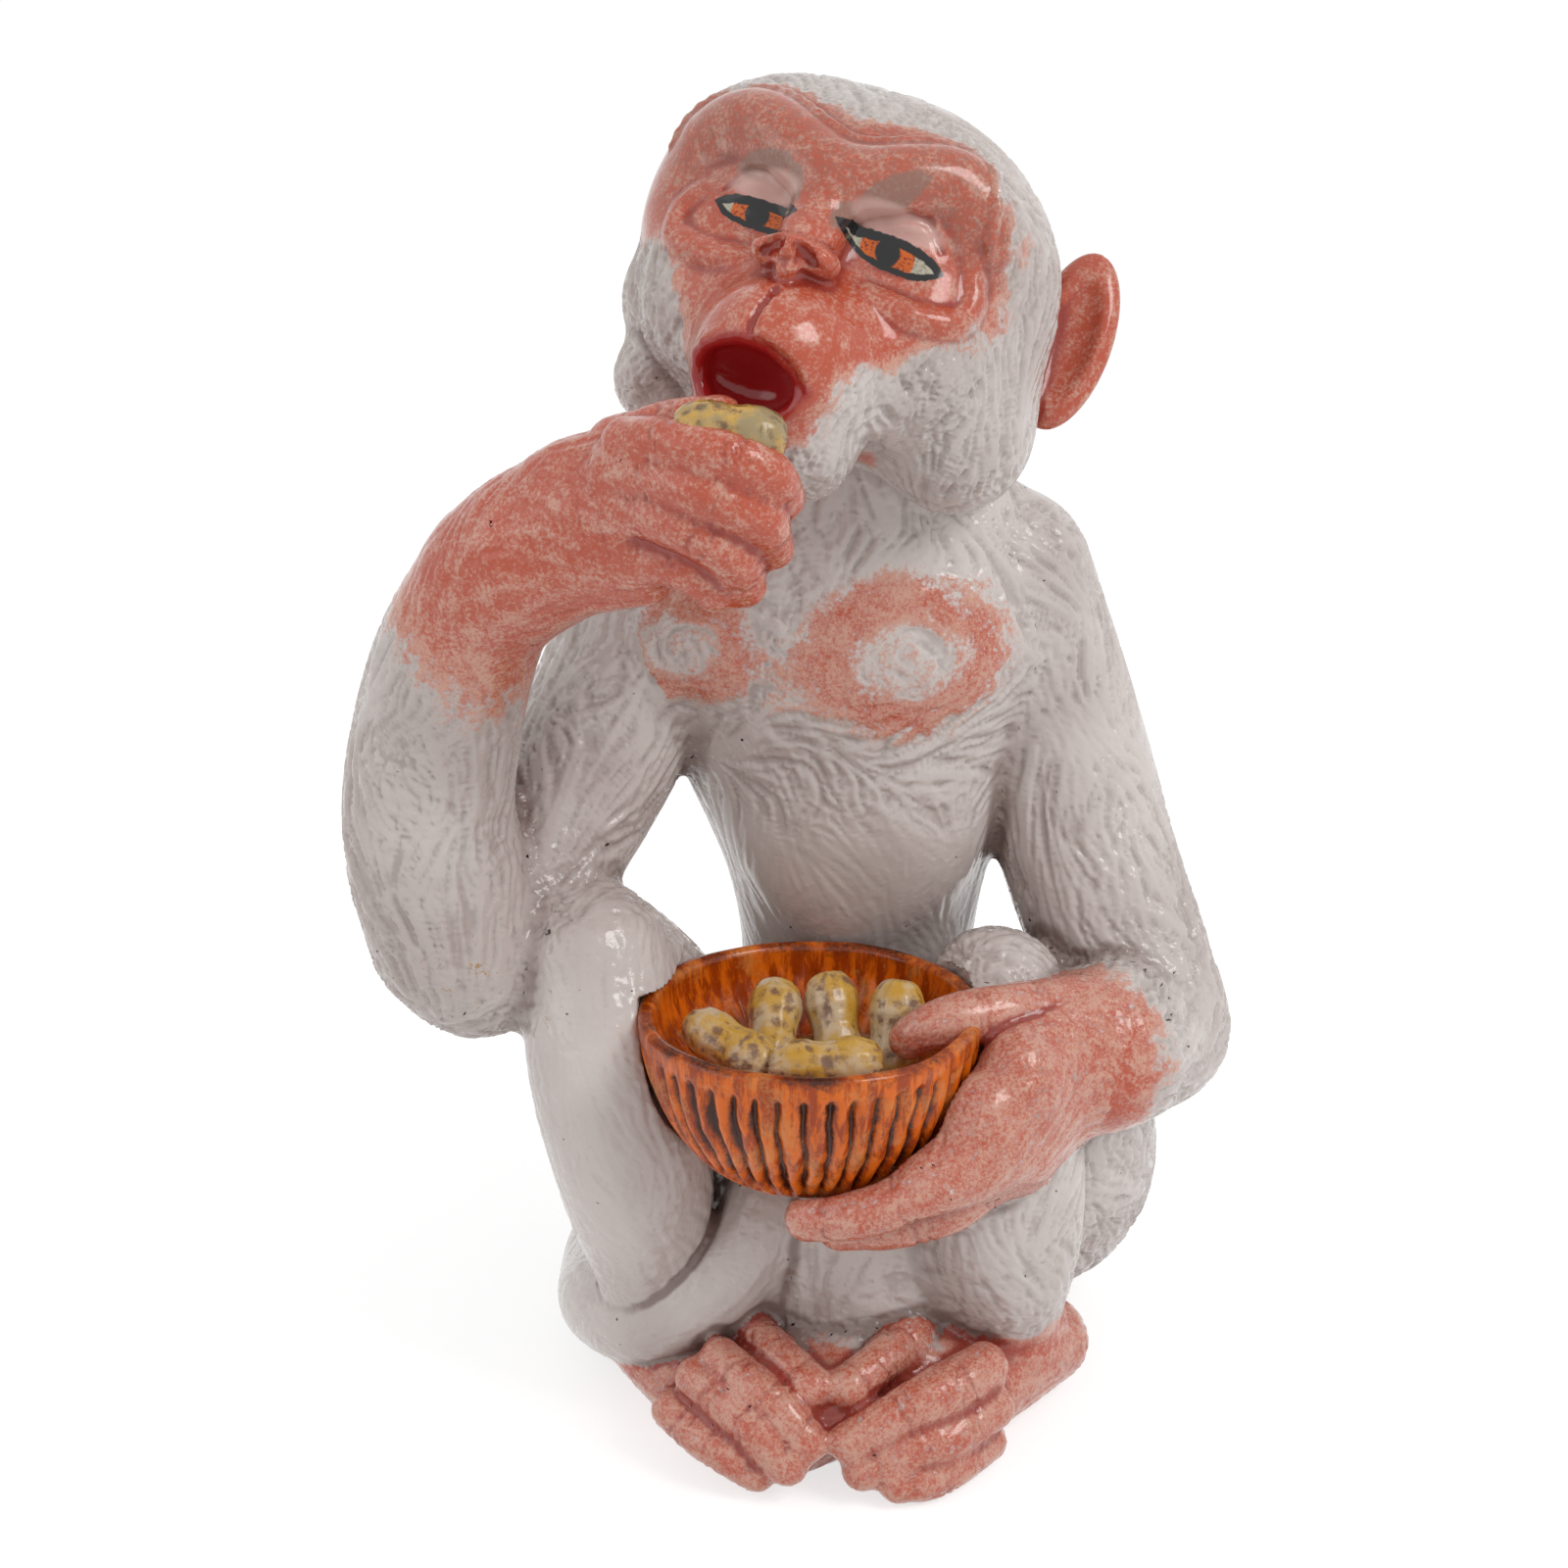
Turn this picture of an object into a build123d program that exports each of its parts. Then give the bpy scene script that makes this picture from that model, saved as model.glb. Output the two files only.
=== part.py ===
import os
from math import cos, radians, sin

from build123d import *

os.makedirs("parts", exist_ok=True)

# A seated monkey of slip-cast, glazed earthenware, about knee high to a chair.
# It faces -Y and stands on Z = 0. Right and left are the monkey's own sides,
# so its right hand, with the peanut, is on -X. All lengths are in mm.

# Whole figure: every place below is a share of this height.
figure_height = 420

# Trunk and head, which are hollow castings
casting_wall = 6
chest_half_width = 66
head_half_width = 61
head_half_depth = 66
head_half_height = 57
mouth_half_width = 16
mouth_half_height = 9.5
mouth_depth = 20
vent_radius = 9
neck_bore_radius = 20
ear_half_height = 27
ear_half_width = 11
ear_thickness = 8
ear_dish_depth = 3.5
ear_rim = 4

# Limbs
upper_arm_radius = 29
forearm_radius = 26
palm_half_width = 26
finger_radius = 7.5
thigh_radius = 46
calf_radius = 27
foot_half_width = 26
toe_radius = 7.5
tail_radius = 15

# Bowl and peanuts
bowl_radius = 52
bowl_height = 53
bowl_wall = 5
bowl_floor = 15
bowl_foot_radius = 24
bowl_rim_band = 10
rib_count = 44
groove_width = 1.6
groove_depth = 1.6
bowl_gap = 0.3
peanut_length = 36
peanut_radius = 8.8
peanut_waist_radius = 7

# How far a cutter runs past the surface it opens
overrun = 20

# A rounded end is three smaller sections, at these angles round the end cap
cap_angles = (30, 60, 84)

# An edge is rounded by this share of the thickness behind it
edge_round_share = 0.4

pieces = []


def spot(place_shares):
    # A place given in shares of the figure's height.
    return Vector(*place_shares) * figure_height


def stations(table_of_shares, girth):
    # A limb's centre places and its two half widths there.
    return [
        (spot(row[:3]), girth * row[3], girth * (row[4] if len(row) > 4 else row[3]))
        for row in table_of_shares
    ]


def headings(places):
    # The direction of the path at each of its places.
    last = len(places) - 1
    return [
        (places[min(i + 1, last)] - places[max(i - 1, 0)]).normalized()
        for i in range(last + 1)
    ]


def rounded(rows, round_start=True, round_end=True):
    # Sections along a limb, with the sections of its rounded ends.
    ways = headings([place for place, wide, deep in rows])
    sections = [(place, way, wide, deep) for (place, wide, deep), way in zip(rows, ways)]
    first, final = sections[0], sections[-1]
    start_cap = []
    end_cap = []
    for angle in cap_angles:
        reach = sin(radians(angle))
        shrink = cos(radians(angle))
        place, way, wide, deep = first
        start_cap.insert(0, (place - way * (min(wide, deep) * reach), way, wide * shrink, deep * shrink))
        place, way, wide, deep = final
        end_cap.append((place + way * (min(wide, deep) * reach), way, wide * shrink, deep * shrink))
    return (start_cap if round_start else []) + sections + (end_cap if round_end else [])


def limb(rows, across=(1, 0, 0), round_start=True, round_end=True, mode=Mode.ADD):
    # One smooth form through oval sections, the first half width lying along `across`.
    ovals = []
    for place, way, wide, deep in rounded(rows, round_start, round_end):
        side = Vector(*across)
        side = (side - way * side.dot(way)).normalized()
        with BuildSketch(Plane(origin=place, x_dir=side, z_dir=way)) as oval:
            Ellipse(wide, deep)
        ovals.append(oval.sketch.face())
    loft(ovals, mode=mode)


def seat(piece, form, *neighbours):
    # A piece from its whole form: cut flat at the ground, then cut to its neighbours'
    # whole forms, without any scrap beyond them.
    add(form.part)
    split(bisect_by=Plane.XY, keep=Keep.TOP)
    carve(piece, *neighbours)


def carve(piece, *neighbours):
    for neighbour in neighbours:
        add(neighbour.part, mode=Mode.SUBTRACT)
    add(piece.part.solids().sort_by(SortBy.VOLUME)[-1], mode=Mode.REPLACE)


def finish(piece, name):
    piece.part.label = name
    pieces.append(piece.part)


# Trunk: the sections run from the flat base to the top of the neck, inside the head.
trunk_shares = [
    (0.055, 0.143, 0.000, 0.79, 0.73),
    (0.055, 0.143, 0.033, 0.88, 0.80),
    (0.055, 0.136, 0.114, 0.88, 0.80),
    (0.055, 0.114, 0.202, 0.70, 0.67),
    (0.057, 0.093, 0.286, 0.58, 0.56),
    (0.057, 0.081, 0.381, 0.64, 0.59),
    (0.052, 0.069, 0.488, 0.86, 0.68),
    (0.050, 0.060, 0.571, 1.00, 0.71),
    (0.048, 0.055, 0.638, 0.95, 0.67),
    (0.045, 0.057, 0.686, 0.83, 0.64),
    (0.043, 0.055, 0.719, 0.70, 0.61),
    (0.043, 0.052, 0.757, 0.58, 0.58),
]
trunk_rows = stations(trunk_shares, chest_half_width)


def flat_form(rows, thinner=0, mode=Mode.ADD):
    # Level oval sections stacked up the trunk.
    ovals = []
    for place, wide, deep in rows:
        with BuildSketch(Plane.XY.offset(place.Z)) as oval:
            with Locations((place.X, place.Y)):
                Ellipse(wide - thinner, deep - thinner)
        ovals.append(oval.sketch.face())
    loft(ovals, mode=mode)


with BuildPart() as trunk_form:
    flat_form(trunk_rows)

# The hollow keeps one wall at the base and at the neck, and a bore opens it into the head.
hollow_rows = [(trunk_rows[0][0] + Vector(0, 0, casting_wall),) + trunk_rows[0][1:]]
hollow_rows += trunk_rows[1:-1]
hollow_rows += [(trunk_rows[-1][0] - Vector(0, 0, casting_wall),) + trunk_rows[-1][1:]]

with BuildPart() as torso:
    add(trunk_form.part)
    flat_form(hollow_rows, thinner=casting_wall, mode=Mode.SUBTRACT)
    with BuildSketch(Plane.XY) as vent:
        with Locations((trunk_rows[0][0].X, trunk_rows[0][0].Y)):
            Circle(vent_radius)
    extrude(vent.sketch, amount=casting_wall + overrun, mode=Mode.SUBTRACT)
    with BuildSketch(Plane.XY.offset(trunk_rows[-1][0].Z - overrun)) as bore:
        with Locations((trunk_rows[-1][0].X, trunk_rows[-1][0].Y)):
            Circle(neck_bore_radius)
    extrude(bore.sketch, amount=2 * overrun, mode=Mode.SUBTRACT)

finish(torso, "torso")

# The bowl stands between the knees, against the belly. Its outside is one turned profile.
bowl_across_share = 0.019
bowl_up_share = 0.238
waist_place, waist_width, waist_depth = trunk_rows[5]
bowl_place = Vector(
    figure_height * bowl_across_share,
    waist_place.Y - waist_depth - bowl_gap - bowl_radius,
    figure_height * bowl_up_share,
)
bowl_axis = Axis(bowl_place, (0, 0, 1))
bowl_section = Plane(origin=bowl_place, x_dir=(1, 0, 0), z_dir=(0, -1, 0))
bulge_out_share = 0.96
bulge_up_share = 0.5
bulge_share = 0.28
bulge_radius = bowl_radius * bulge_out_share
bulge_height = bowl_height * bulge_up_share
bulge = bowl_foot_radius * bulge_share


def turned(thinner=0, floor=0, above=0, mode=Mode.ADD):
    # The bowl's outside, or with `thinner` and `floor` the hollow inside it.
    foot = (bowl_foot_radius - thinner, floor)
    side = (bulge_radius - thinner, bulge_height)
    rim = (bowl_radius - thinner, bowl_height + above)
    with BuildSketch(bowl_section) as profile:
        with BuildLine():
            Line((0, floor), foot)
            SagittaArc(foot, side, -bulge)
            Line(side, rim)
            Line(rim, (0, bowl_height + above))
            Line((0, bowl_height + above), (0, floor))
        make_face()
    revolve(profile.sketch, axis=bowl_axis, mode=mode)


with BuildPart() as bowl_form:
    turned()

# Head: turned to its right, tipped back and leaning to its left. On its plane
# X is across the face, Y is up the face and Z is straight ahead.
head_centre_shares = (0.050, -0.010, 0.857)
head_across_shares = (0.923, -0.330, -0.199)
head_ahead_shares = (-0.208, -0.861, 0.463)
head_plane = Plane(origin=spot(head_centre_shares), x_dir=head_across_shares, z_dir=head_ahead_shares)

# Ahead and up in shares of the head's half depth and half height, then its half width and half height
head_shares = [
    (-0.985, 0.06, 0.14, 0.14),
    (-0.83, 0.05, 0.56, 0.56),
    (-0.56, 0.04, 0.82, 0.82),
    (-0.23, 0.01, 0.96, 0.96),
    (0.08, 0.00, 1.00, 1.00),
    (0.38, -0.03, 0.95, 0.98),
    (0.64, -0.10, 0.83, 0.90),
    (0.82, -0.26, 0.66, 0.80),
    (0.96, -0.56, 0.48, 0.62),
    (1.11, -0.64, 0.40, 0.50),
    (1.20, -0.60, 0.26, 0.32),
    (1.24, -0.58, 0.08, 0.10),
]
# The head's hollow takes the sections between these places
hollow_back_share = -0.9
hollow_ahead_share = 0.7


def head_loft(rows, thinner=0, mode=Mode.ADD):
    # Oval sections across the head, from its back to its muzzle.
    ovals = []
    for ahead, up, wide, high in rows:
        with BuildSketch(head_plane.offset(head_half_depth * ahead)) as oval:
            with Locations((0, head_half_height * up)):
                Ellipse(head_half_width * wide - thinner, head_half_height * high - thinner)
        ovals.append(oval.sketch.face())
    loft(ovals, mode=mode)


with BuildPart() as head_form:
    head_loft(head_shares)

mouth_up_share = -0.91
mouth_ahead_share = 1.22
with BuildPart() as head:
    add(head_form.part)
    head_loft(
        [row for row in head_shares if hollow_back_share < row[0] < hollow_ahead_share],
        thinner=casting_wall,
        mode=Mode.SUBTRACT,
    )
    add(trunk_form.part, mode=Mode.SUBTRACT)
    with BuildSketch(head_plane.offset(head_half_depth * mouth_ahead_share - mouth_depth)) as mouth:
        with Locations((0, head_half_height * mouth_up_share)):
            Ellipse(mouth_half_width, mouth_half_height)
    extrude(mouth.sketch, amount=mouth_depth + overrun, mode=Mode.SUBTRACT)
    carve(head)

finish(head, "head")

# Ears: dished ovals standing out from the sides of the head.
ear_out_share = 0.97
ear_ahead_share = -0.45
ear_up_share = 0.15
for name, side in (("left_ear", 1), ("right_ear", -1)):
    ear_place = head_plane.from_local_coords(
        Vector(side * head_half_width * ear_out_share, head_half_height * ear_up_share,
               head_half_depth * ear_ahead_share)
    )
    ear_plane = Plane(origin=ear_place, x_dir=head_plane.x_dir, z_dir=head_plane.z_dir)
    with BuildPart() as ear:
        with BuildSketch(ear_plane):
            Ellipse(ear_half_width, ear_half_height)
        extrude(amount=ear_thickness / 2, both=True)
        fillet(ear.edges(), radius=ear_thickness * edge_round_share)
        with BuildSketch(ear_plane.offset(ear_thickness / 2 - ear_dish_depth)):
            Ellipse(ear_half_width - ear_rim, ear_half_height - ear_rim)
        extrude(amount=ear_thickness, mode=Mode.SUBTRACT)
        carve(ear, head_form)
    finish(ear, name)

# Legs: thighs lie back along the ground and rise to the knees, shins come down to the feet.
left_thigh_shares = [
    (0.157, 0.181, 0.110, 0.87),
    (0.188, 0.100, 0.121, 1.01),
    (0.195, 0.019, 0.202, 0.83),
    (0.176, -0.029, 0.283, 0.59),
    (0.157, -0.052, 0.333, 0.48),
]
right_thigh_shares = [
    (-0.048, 0.181, 0.110, 0.87),
    (-0.067, 0.100, 0.138, 1.00),
    (-0.095, 0.010, 0.252, 0.74),
    (-0.124, -0.038, 0.336, 0.57),
    (-0.140, -0.071, 0.376, 0.49),
]
left_shin_shares = [
    (0.157, -0.064, 0.324, 0.78),
    (0.160, -0.095, 0.250, 1.00),
    (0.162, -0.100, 0.167, 1.00),
    (0.167, -0.086, 0.100, 0.74),
    (0.171, -0.071, 0.060, 0.67),
]
right_shin_shares = [
    (-0.138, -0.079, 0.371, 0.81),
    (-0.124, -0.100, 0.298, 1.04),
    (-0.110, -0.100, 0.202, 0.89),
    (-0.100, -0.088, 0.124, 0.67),
    (-0.098, -0.079, 0.067, 0.63),
]

# The grooves between the ribs run from above the foot to below a plain rim.
groove_bulge_share = 0.65
rim_groove_share = 1.5
groove_foot = (bowl_foot_radius + bulge, groove_depth)
groove_side = (bulge_radius - groove_depth, bulge_height)
groove_top = (bowl_radius - groove_depth * rim_groove_share, bowl_height - bowl_rim_band)
with BuildPart() as groove:
    with BuildSketch(bowl_section) as groove_outline:
        with BuildLine():
            SagittaArc(groove_foot, groove_side, -bulge * groove_bulge_share)
            Line(groove_side, groove_top)
            Line(groove_top, (bowl_radius + overrun, groove_top[1]))
            Line((bowl_radius + overrun, groove_top[1]), (bowl_radius + overrun, groove_foot[1]))
            Line((bowl_radius + overrun, groove_foot[1]), groove_foot)
        make_face()
    extrude(groove_outline.sketch, amount=groove_width / 2, both=True)

with BuildPart() as bowl:
    turned()
    turned(thinner=bowl_wall, floor=bowl_floor, above=overrun, mode=Mode.SUBTRACT)
    fillet(bowl.faces().sort_by(Axis.Z)[-1].edges(), radius=bowl_wall * edge_round_share)
    for number in range(rib_count):
        add(groove.part.rotate(bowl_axis, number * 360 / rib_count), mode=Mode.SUBTRACT)

finish(bowl, "bowl")

with BuildPart() as right_thigh_form:
    limb(stations(right_thigh_shares, thigh_radius))

with BuildPart() as right_thigh:
    seat(right_thigh, right_thigh_form, trunk_form, bowl_form)

finish(right_thigh, "right_thigh")

with BuildPart() as left_thigh_form:
    limb(stations(left_thigh_shares, thigh_radius))

with BuildPart() as left_thigh:
    seat(left_thigh, left_thigh_form, trunk_form, bowl_form)

finish(left_thigh, "left_thigh")

with BuildPart() as right_shin_form:
    limb(stations(right_shin_shares, calf_radius))

with BuildPart() as right_shin:
    seat(right_shin, right_shin_form, right_thigh_form, bowl_form)

finish(right_shin, "right_shin")

with BuildPart() as left_shin_form:
    limb(stations(left_shin_shares, calf_radius))

with BuildPart() as left_shin:
    seat(left_shin, left_shin_form, left_thigh_form, bowl_form)

finish(left_shin, "left_shin")

# Feet: each turns in from its heel, and the two meet in the middle.
right_foot_shares = [
    (-0.090, -0.043, 0.038, 0.77, 0.62),
    (-0.060, -0.088, 0.043, 0.92, 0.69),
    (-0.019, -0.138, 0.038, 0.92, 0.58),
    (0.014, -0.174, 0.029, 0.69, 0.38),
]
left_foot_shares = [
    (0.193, -0.043, 0.038, 0.79, 0.62),
    (0.152, -0.088, 0.043, 0.87, 0.69),
    (0.102, -0.143, 0.038, 0.85, 0.58),
    (0.069, -0.174, 0.029, 0.69, 0.38),
]

with BuildPart() as right_foot_form:
    limb(stations(right_foot_shares, foot_half_width))

with BuildPart() as right_foot:
    seat(right_foot, right_foot_form, right_shin_form, right_thigh_form)

finish(right_foot, "right_foot")

with BuildPart() as left_foot_form:
    limb(stations(left_foot_shares, foot_half_width))

with BuildPart() as left_foot:
    seat(left_foot, left_foot_form, left_shin_form, left_thigh_form, right_foot_form)

finish(left_foot, "left_foot")


def digits(tables, girth, name, neighbours):
    # Fingers or toes: each one is cut to the forms round it and to the digit before it.
    forms = []
    for number, table_of_shares in enumerate(tables, start=1):
        with BuildPart() as digit_form:
            limb(stations(table_of_shares, girth))
        with BuildPart() as digit:
            seat(digit, digit_form, *neighbours, *forms)
        finish(digit, f"{name}_{number}")
        forms.append(digit_form)
    return forms


right_toe_shares = [
    [(-0.028, -0.117, 0.090, 0.87), (-0.004, -0.154, 0.086, 0.93), (0.019, -0.183, 0.079, 0.93)],
    [(-0.047, -0.155, 0.086, 0.87), (-0.023, -0.183, 0.079, 0.93), (0.000, -0.200, 0.067, 0.93),
     (0.017, -0.210, 0.048, 0.87)],
    [(-0.065, -0.159, 0.071, 0.87), (-0.042, -0.184, 0.064, 0.93), (-0.018, -0.205, 0.052, 0.93),
     (0.002, -0.214, 0.031, 0.87)],
    [(-0.084, -0.162, 0.045, 0.87), (-0.061, -0.185, 0.038, 0.93), (-0.040, -0.200, 0.031, 0.93),
     (-0.020, -0.206, 0.019, 0.80)],
]
left_toe_shares = [
    [(0.095, -0.131, 0.090, 0.87), (0.073, -0.160, 0.086, 0.93), (0.049, -0.183, 0.079, 0.93)],
    [(0.146, -0.160, 0.081, 1.07), (0.108, -0.190, 0.074, 1.10), (0.052, -0.209, 0.052, 0.87)],
    [(0.152, -0.170, 0.048, 0.93), (0.112, -0.200, 0.040, 1.00), (0.062, -0.214, 0.024, 0.87)],
    [(0.150, -0.169, 0.017, 0.87), (0.121, -0.200, 0.017, 0.87), (0.086, -0.217, 0.015, 0.80)],
]
right_toes = digits(right_toe_shares, toe_radius, "right_toe", [right_foot_form, left_foot_form])
left_toes = digits(
    left_toe_shares, toe_radius, "left_toe", [left_foot_form, right_foot_form, *right_toes]
)

# Arms. The left one hangs down and bends across the bowl, the right one rests its
# elbow by the knee and rises to the mouth.
right_upper_arm_shares = [
    (-0.095, 0.064, 0.590, 1.03),
    (-0.145, 0.019, 0.493, 0.93),
    (-0.195, -0.031, 0.412, 0.86),
    (-0.226, -0.062, 0.364, 0.83),
]
left_upper_arm_shares = [
    (0.169, 0.064, 0.610, 1.02),
    (0.198, 0.064, 0.529, 0.97),
    (0.217, 0.052, 0.467, 0.98),
    (0.238, 0.033, 0.395, 0.97),
    (0.264, 0.010, 0.329, 0.93),
    (0.276, -0.007, 0.290, 0.86),
]
right_forearm_shares = [
    (-0.243, -0.074, 0.393, 1.02),
    (-0.252, -0.076, 0.448, 1.04),
    (-0.255, -0.079, 0.502, 1.02),
    (-0.243, -0.090, 0.567, 0.96),
    (-0.226, -0.110, 0.621, 0.90),
    (-0.202, -0.129, 0.669, 0.83),
    (-0.174, -0.148, 0.700, 0.81),
]
left_forearm_shares = [
    (0.276, -0.010, 0.288, 1.00),
    (0.257, -0.052, 0.295, 1.00),
    (0.236, -0.090, 0.302, 0.92),
]

with BuildPart() as right_forearm_form:
    limb(stations(right_forearm_shares, forearm_radius))

with BuildPart() as right_forearm:
    seat(right_forearm, right_forearm_form, right_thigh_form, right_shin_form)

finish(right_forearm, "right_forearm")

with BuildPart() as right_upper_arm_form:
    limb(stations(right_upper_arm_shares, upper_arm_radius))

with BuildPart() as right_upper_arm:
    seat(
        right_upper_arm, right_upper_arm_form,
        trunk_form, right_forearm_form, right_thigh_form, right_shin_form,
    )

finish(right_upper_arm, "right_upper_arm")

with BuildPart() as left_upper_arm_form:
    limb(stations(left_upper_arm_shares, upper_arm_radius))

with BuildPart() as left_upper_arm:
    seat(left_upper_arm, left_upper_arm_form, trunk_form, left_thigh_form)

finish(left_upper_arm, "left_upper_arm")

with BuildPart() as left_forearm_form:
    limb(stations(left_forearm_shares, forearm_radius))

with BuildPart() as left_forearm:
    seat(
        left_forearm, left_forearm_form,
        left_upper_arm_form, left_thigh_form, left_shin_form, bowl_form,
    )

finish(left_forearm, "left_forearm")

# Hands: flattened palms, with the digits as pieces of their own.
right_palm_shares = [
    (-0.190, -0.138, 0.683, 0.77, 0.81),
    (-0.157, -0.157, 0.710, 0.73, 0.88),
    (-0.129, -0.179, 0.729, 0.65, 0.96),
    (-0.098, -0.202, 0.740, 0.54, 0.96),
]
left_palm_shares = [
    (0.240, -0.083, 0.312, 0.81, 0.88),
    (0.212, -0.114, 0.312, 0.65, 0.92),
    (0.183, -0.145, 0.300, 0.58, 0.96),
    (0.160, -0.167, 0.271, 0.58, 0.81),
]
# The flat of each palm lies along these directions.
right_palm_across = (0.5, 0.8, 0)
left_palm_across = (0.8, -0.6, 0)

with BuildPart() as right_hand_form:
    limb(stations(right_palm_shares, palm_half_width), across=right_palm_across)

with BuildPart() as right_hand:
    seat(right_hand, right_hand_form, right_forearm_form, head_form)

finish(right_hand, "right_hand")

with BuildPart() as left_hand_form:
    limb(stations(left_palm_shares, palm_half_width), across=left_palm_across)

with BuildPart() as left_hand:
    seat(
        left_hand, left_hand_form,
        left_forearm_form, left_shin_form, left_thigh_form, bowl_form,
    )

finish(left_hand, "left_hand")

right_finger_shares = [
    [(-0.100, -0.219, 0.793, 1.00), (-0.068, -0.248, 0.800, 0.96), (-0.033, -0.264, 0.794, 0.96),
     (-0.010, -0.257, 0.781, 0.93), (0.000, -0.236, 0.762, 0.80)],
    [(-0.107, -0.214, 0.774, 1.00), (-0.074, -0.245, 0.776, 0.96), (-0.043, -0.264, 0.769, 0.96),
     (-0.015, -0.257, 0.752, 0.93), (-0.007, -0.236, 0.729, 0.80)],
    [(-0.111, -0.210, 0.750, 1.00), (-0.081, -0.240, 0.751, 0.96), (-0.052, -0.257, 0.743, 0.96),
     (-0.032, -0.252, 0.726, 0.93), (-0.025, -0.233, 0.702, 0.80)],
    [(-0.110, -0.200, 0.718, 1.00), (-0.081, -0.229, 0.719, 0.93), (-0.060, -0.243, 0.715, 0.87),
     (-0.044, -0.236, 0.700, 0.80)],
]
left_finger_shares = [
    [(0.162, -0.162, 0.295, 1.13), (0.124, -0.210, 0.276, 1.07), (0.090, -0.229, 0.260, 1.00),
     (0.052, -0.231, 0.245, 1.00), (0.017, -0.219, 0.236, 0.93)],
    [(0.162, -0.157, 0.255, 1.20), (0.124, -0.186, 0.232, 1.13), (0.083, -0.198, 0.221, 1.07),
     (0.040, -0.195, 0.217, 1.00)],
    [(0.162, -0.143, 0.248, 1.13), (0.124, -0.152, 0.217, 1.07), (0.081, -0.157, 0.214, 1.07),
     (0.038, -0.152, 0.214, 1.00)],
    [(0.167, -0.124, 0.248, 1.13), (0.129, -0.117, 0.217, 1.07), (0.088, -0.117, 0.214, 1.07),
     (0.045, -0.114, 0.214, 1.00)],
]
right_thumb_shares = [
    (-0.110, -0.186, 0.786, 1.00),
    (-0.069, -0.205, 0.802, 0.93),
    (-0.040, -0.214, 0.810, 0.80),
]
left_thumb_shares = [
    (0.210, -0.110, 0.350, 1.27),
    (0.164, -0.136, 0.357, 1.20),
    (0.129, -0.150, 0.358, 1.13),
    (0.100, -0.160, 0.355, 0.93),
    (0.088, -0.157, 0.345, 0.80),
]
right_fingers = digits(
    right_finger_shares, finger_radius, "right_finger", [right_hand_form, head_form]
)
left_fingers = digits(
    left_finger_shares, finger_radius, "left_finger",
    [left_hand_form, left_forearm_form, left_shin_form, left_thigh_form, bowl_form],
)

with BuildPart() as right_thumb_form:
    limb(stations(right_thumb_shares, finger_radius))

with BuildPart() as right_thumb:
    seat(right_thumb, right_thumb_form, right_hand_form, head_form, *right_fingers)

finish(right_thumb, "right_thumb")

# The left thumb lies over the bowl's rim.
with BuildPart() as left_thumb_form:
    limb(stations(left_thumb_shares, finger_radius))

with BuildPart() as left_thumb:
    seat(
        left_thumb, left_thumb_form,
        left_hand_form, left_forearm_form, left_shin_form, left_thigh_form, bowl,
    )

finish(left_thumb, "left_thumb")

# Tail: from behind the seat, round the right haunch and up between the shins.
tail_shares = [
    (0.019, 0.243, 0.045, 1.13),
    (-0.062, 0.229, 0.043, 1.13),
    (-0.119, 0.167, 0.043, 1.07),
    (-0.140, 0.095, 0.045, 1.00),
    (-0.143, 0.019, 0.052, 1.03),
    (-0.136, -0.038, 0.067, 1.07),
    (-0.107, -0.088, 0.083, 1.07),
    (-0.064, -0.110, 0.112, 1.03),
    (-0.026, -0.098, 0.150, 0.97),
    (-0.010, -0.071, 0.195, 0.80),
]
with BuildPart() as tail_form:
    limb(stations(tail_shares, tail_radius), across=(0, 0, 1))

with BuildPart() as tail:
    seat(
        tail, tail_form,
        trunk_form, right_thigh_form, right_shin_form, right_foot_form, *right_toes,
    )

finish(tail, "tail")

# Peanuts in their shells: a round lobe at each end and a waist between them, which
# leaves each lobe at this angle from the nut's length.
waist_angle = 60
lobe_place = peanut_length / 2 - peanut_radius
waist_along = lobe_place - peanut_radius * cos(radians(waist_angle))
waist_out = peanut_radius * sin(radians(waist_angle))


def nut(middle, way):
    nut_plane = Plane(origin=middle, x_dir=way, z_dir=Vector(*way).cross(Vector(0, 0, 1)))
    tip = (peanut_length / 2, 0)
    joint = (waist_along, waist_out)
    far_tip = (-peanut_length / 2, 0)
    far_joint = (-waist_along, waist_out)
    with BuildSketch(nut_plane) as half_outline:
        with BuildLine():
            ThreePointArc(far_tip, (-lobe_place, peanut_radius), far_joint)
            ThreePointArc(far_joint, (0, peanut_waist_radius), joint)
            ThreePointArc(joint, (lobe_place, peanut_radius), tip)
            Line(tip, far_tip)
        make_face()
    revolve(half_outline.sketch, axis=Axis(nut_plane.origin, nut_plane.x_dir))


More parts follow.
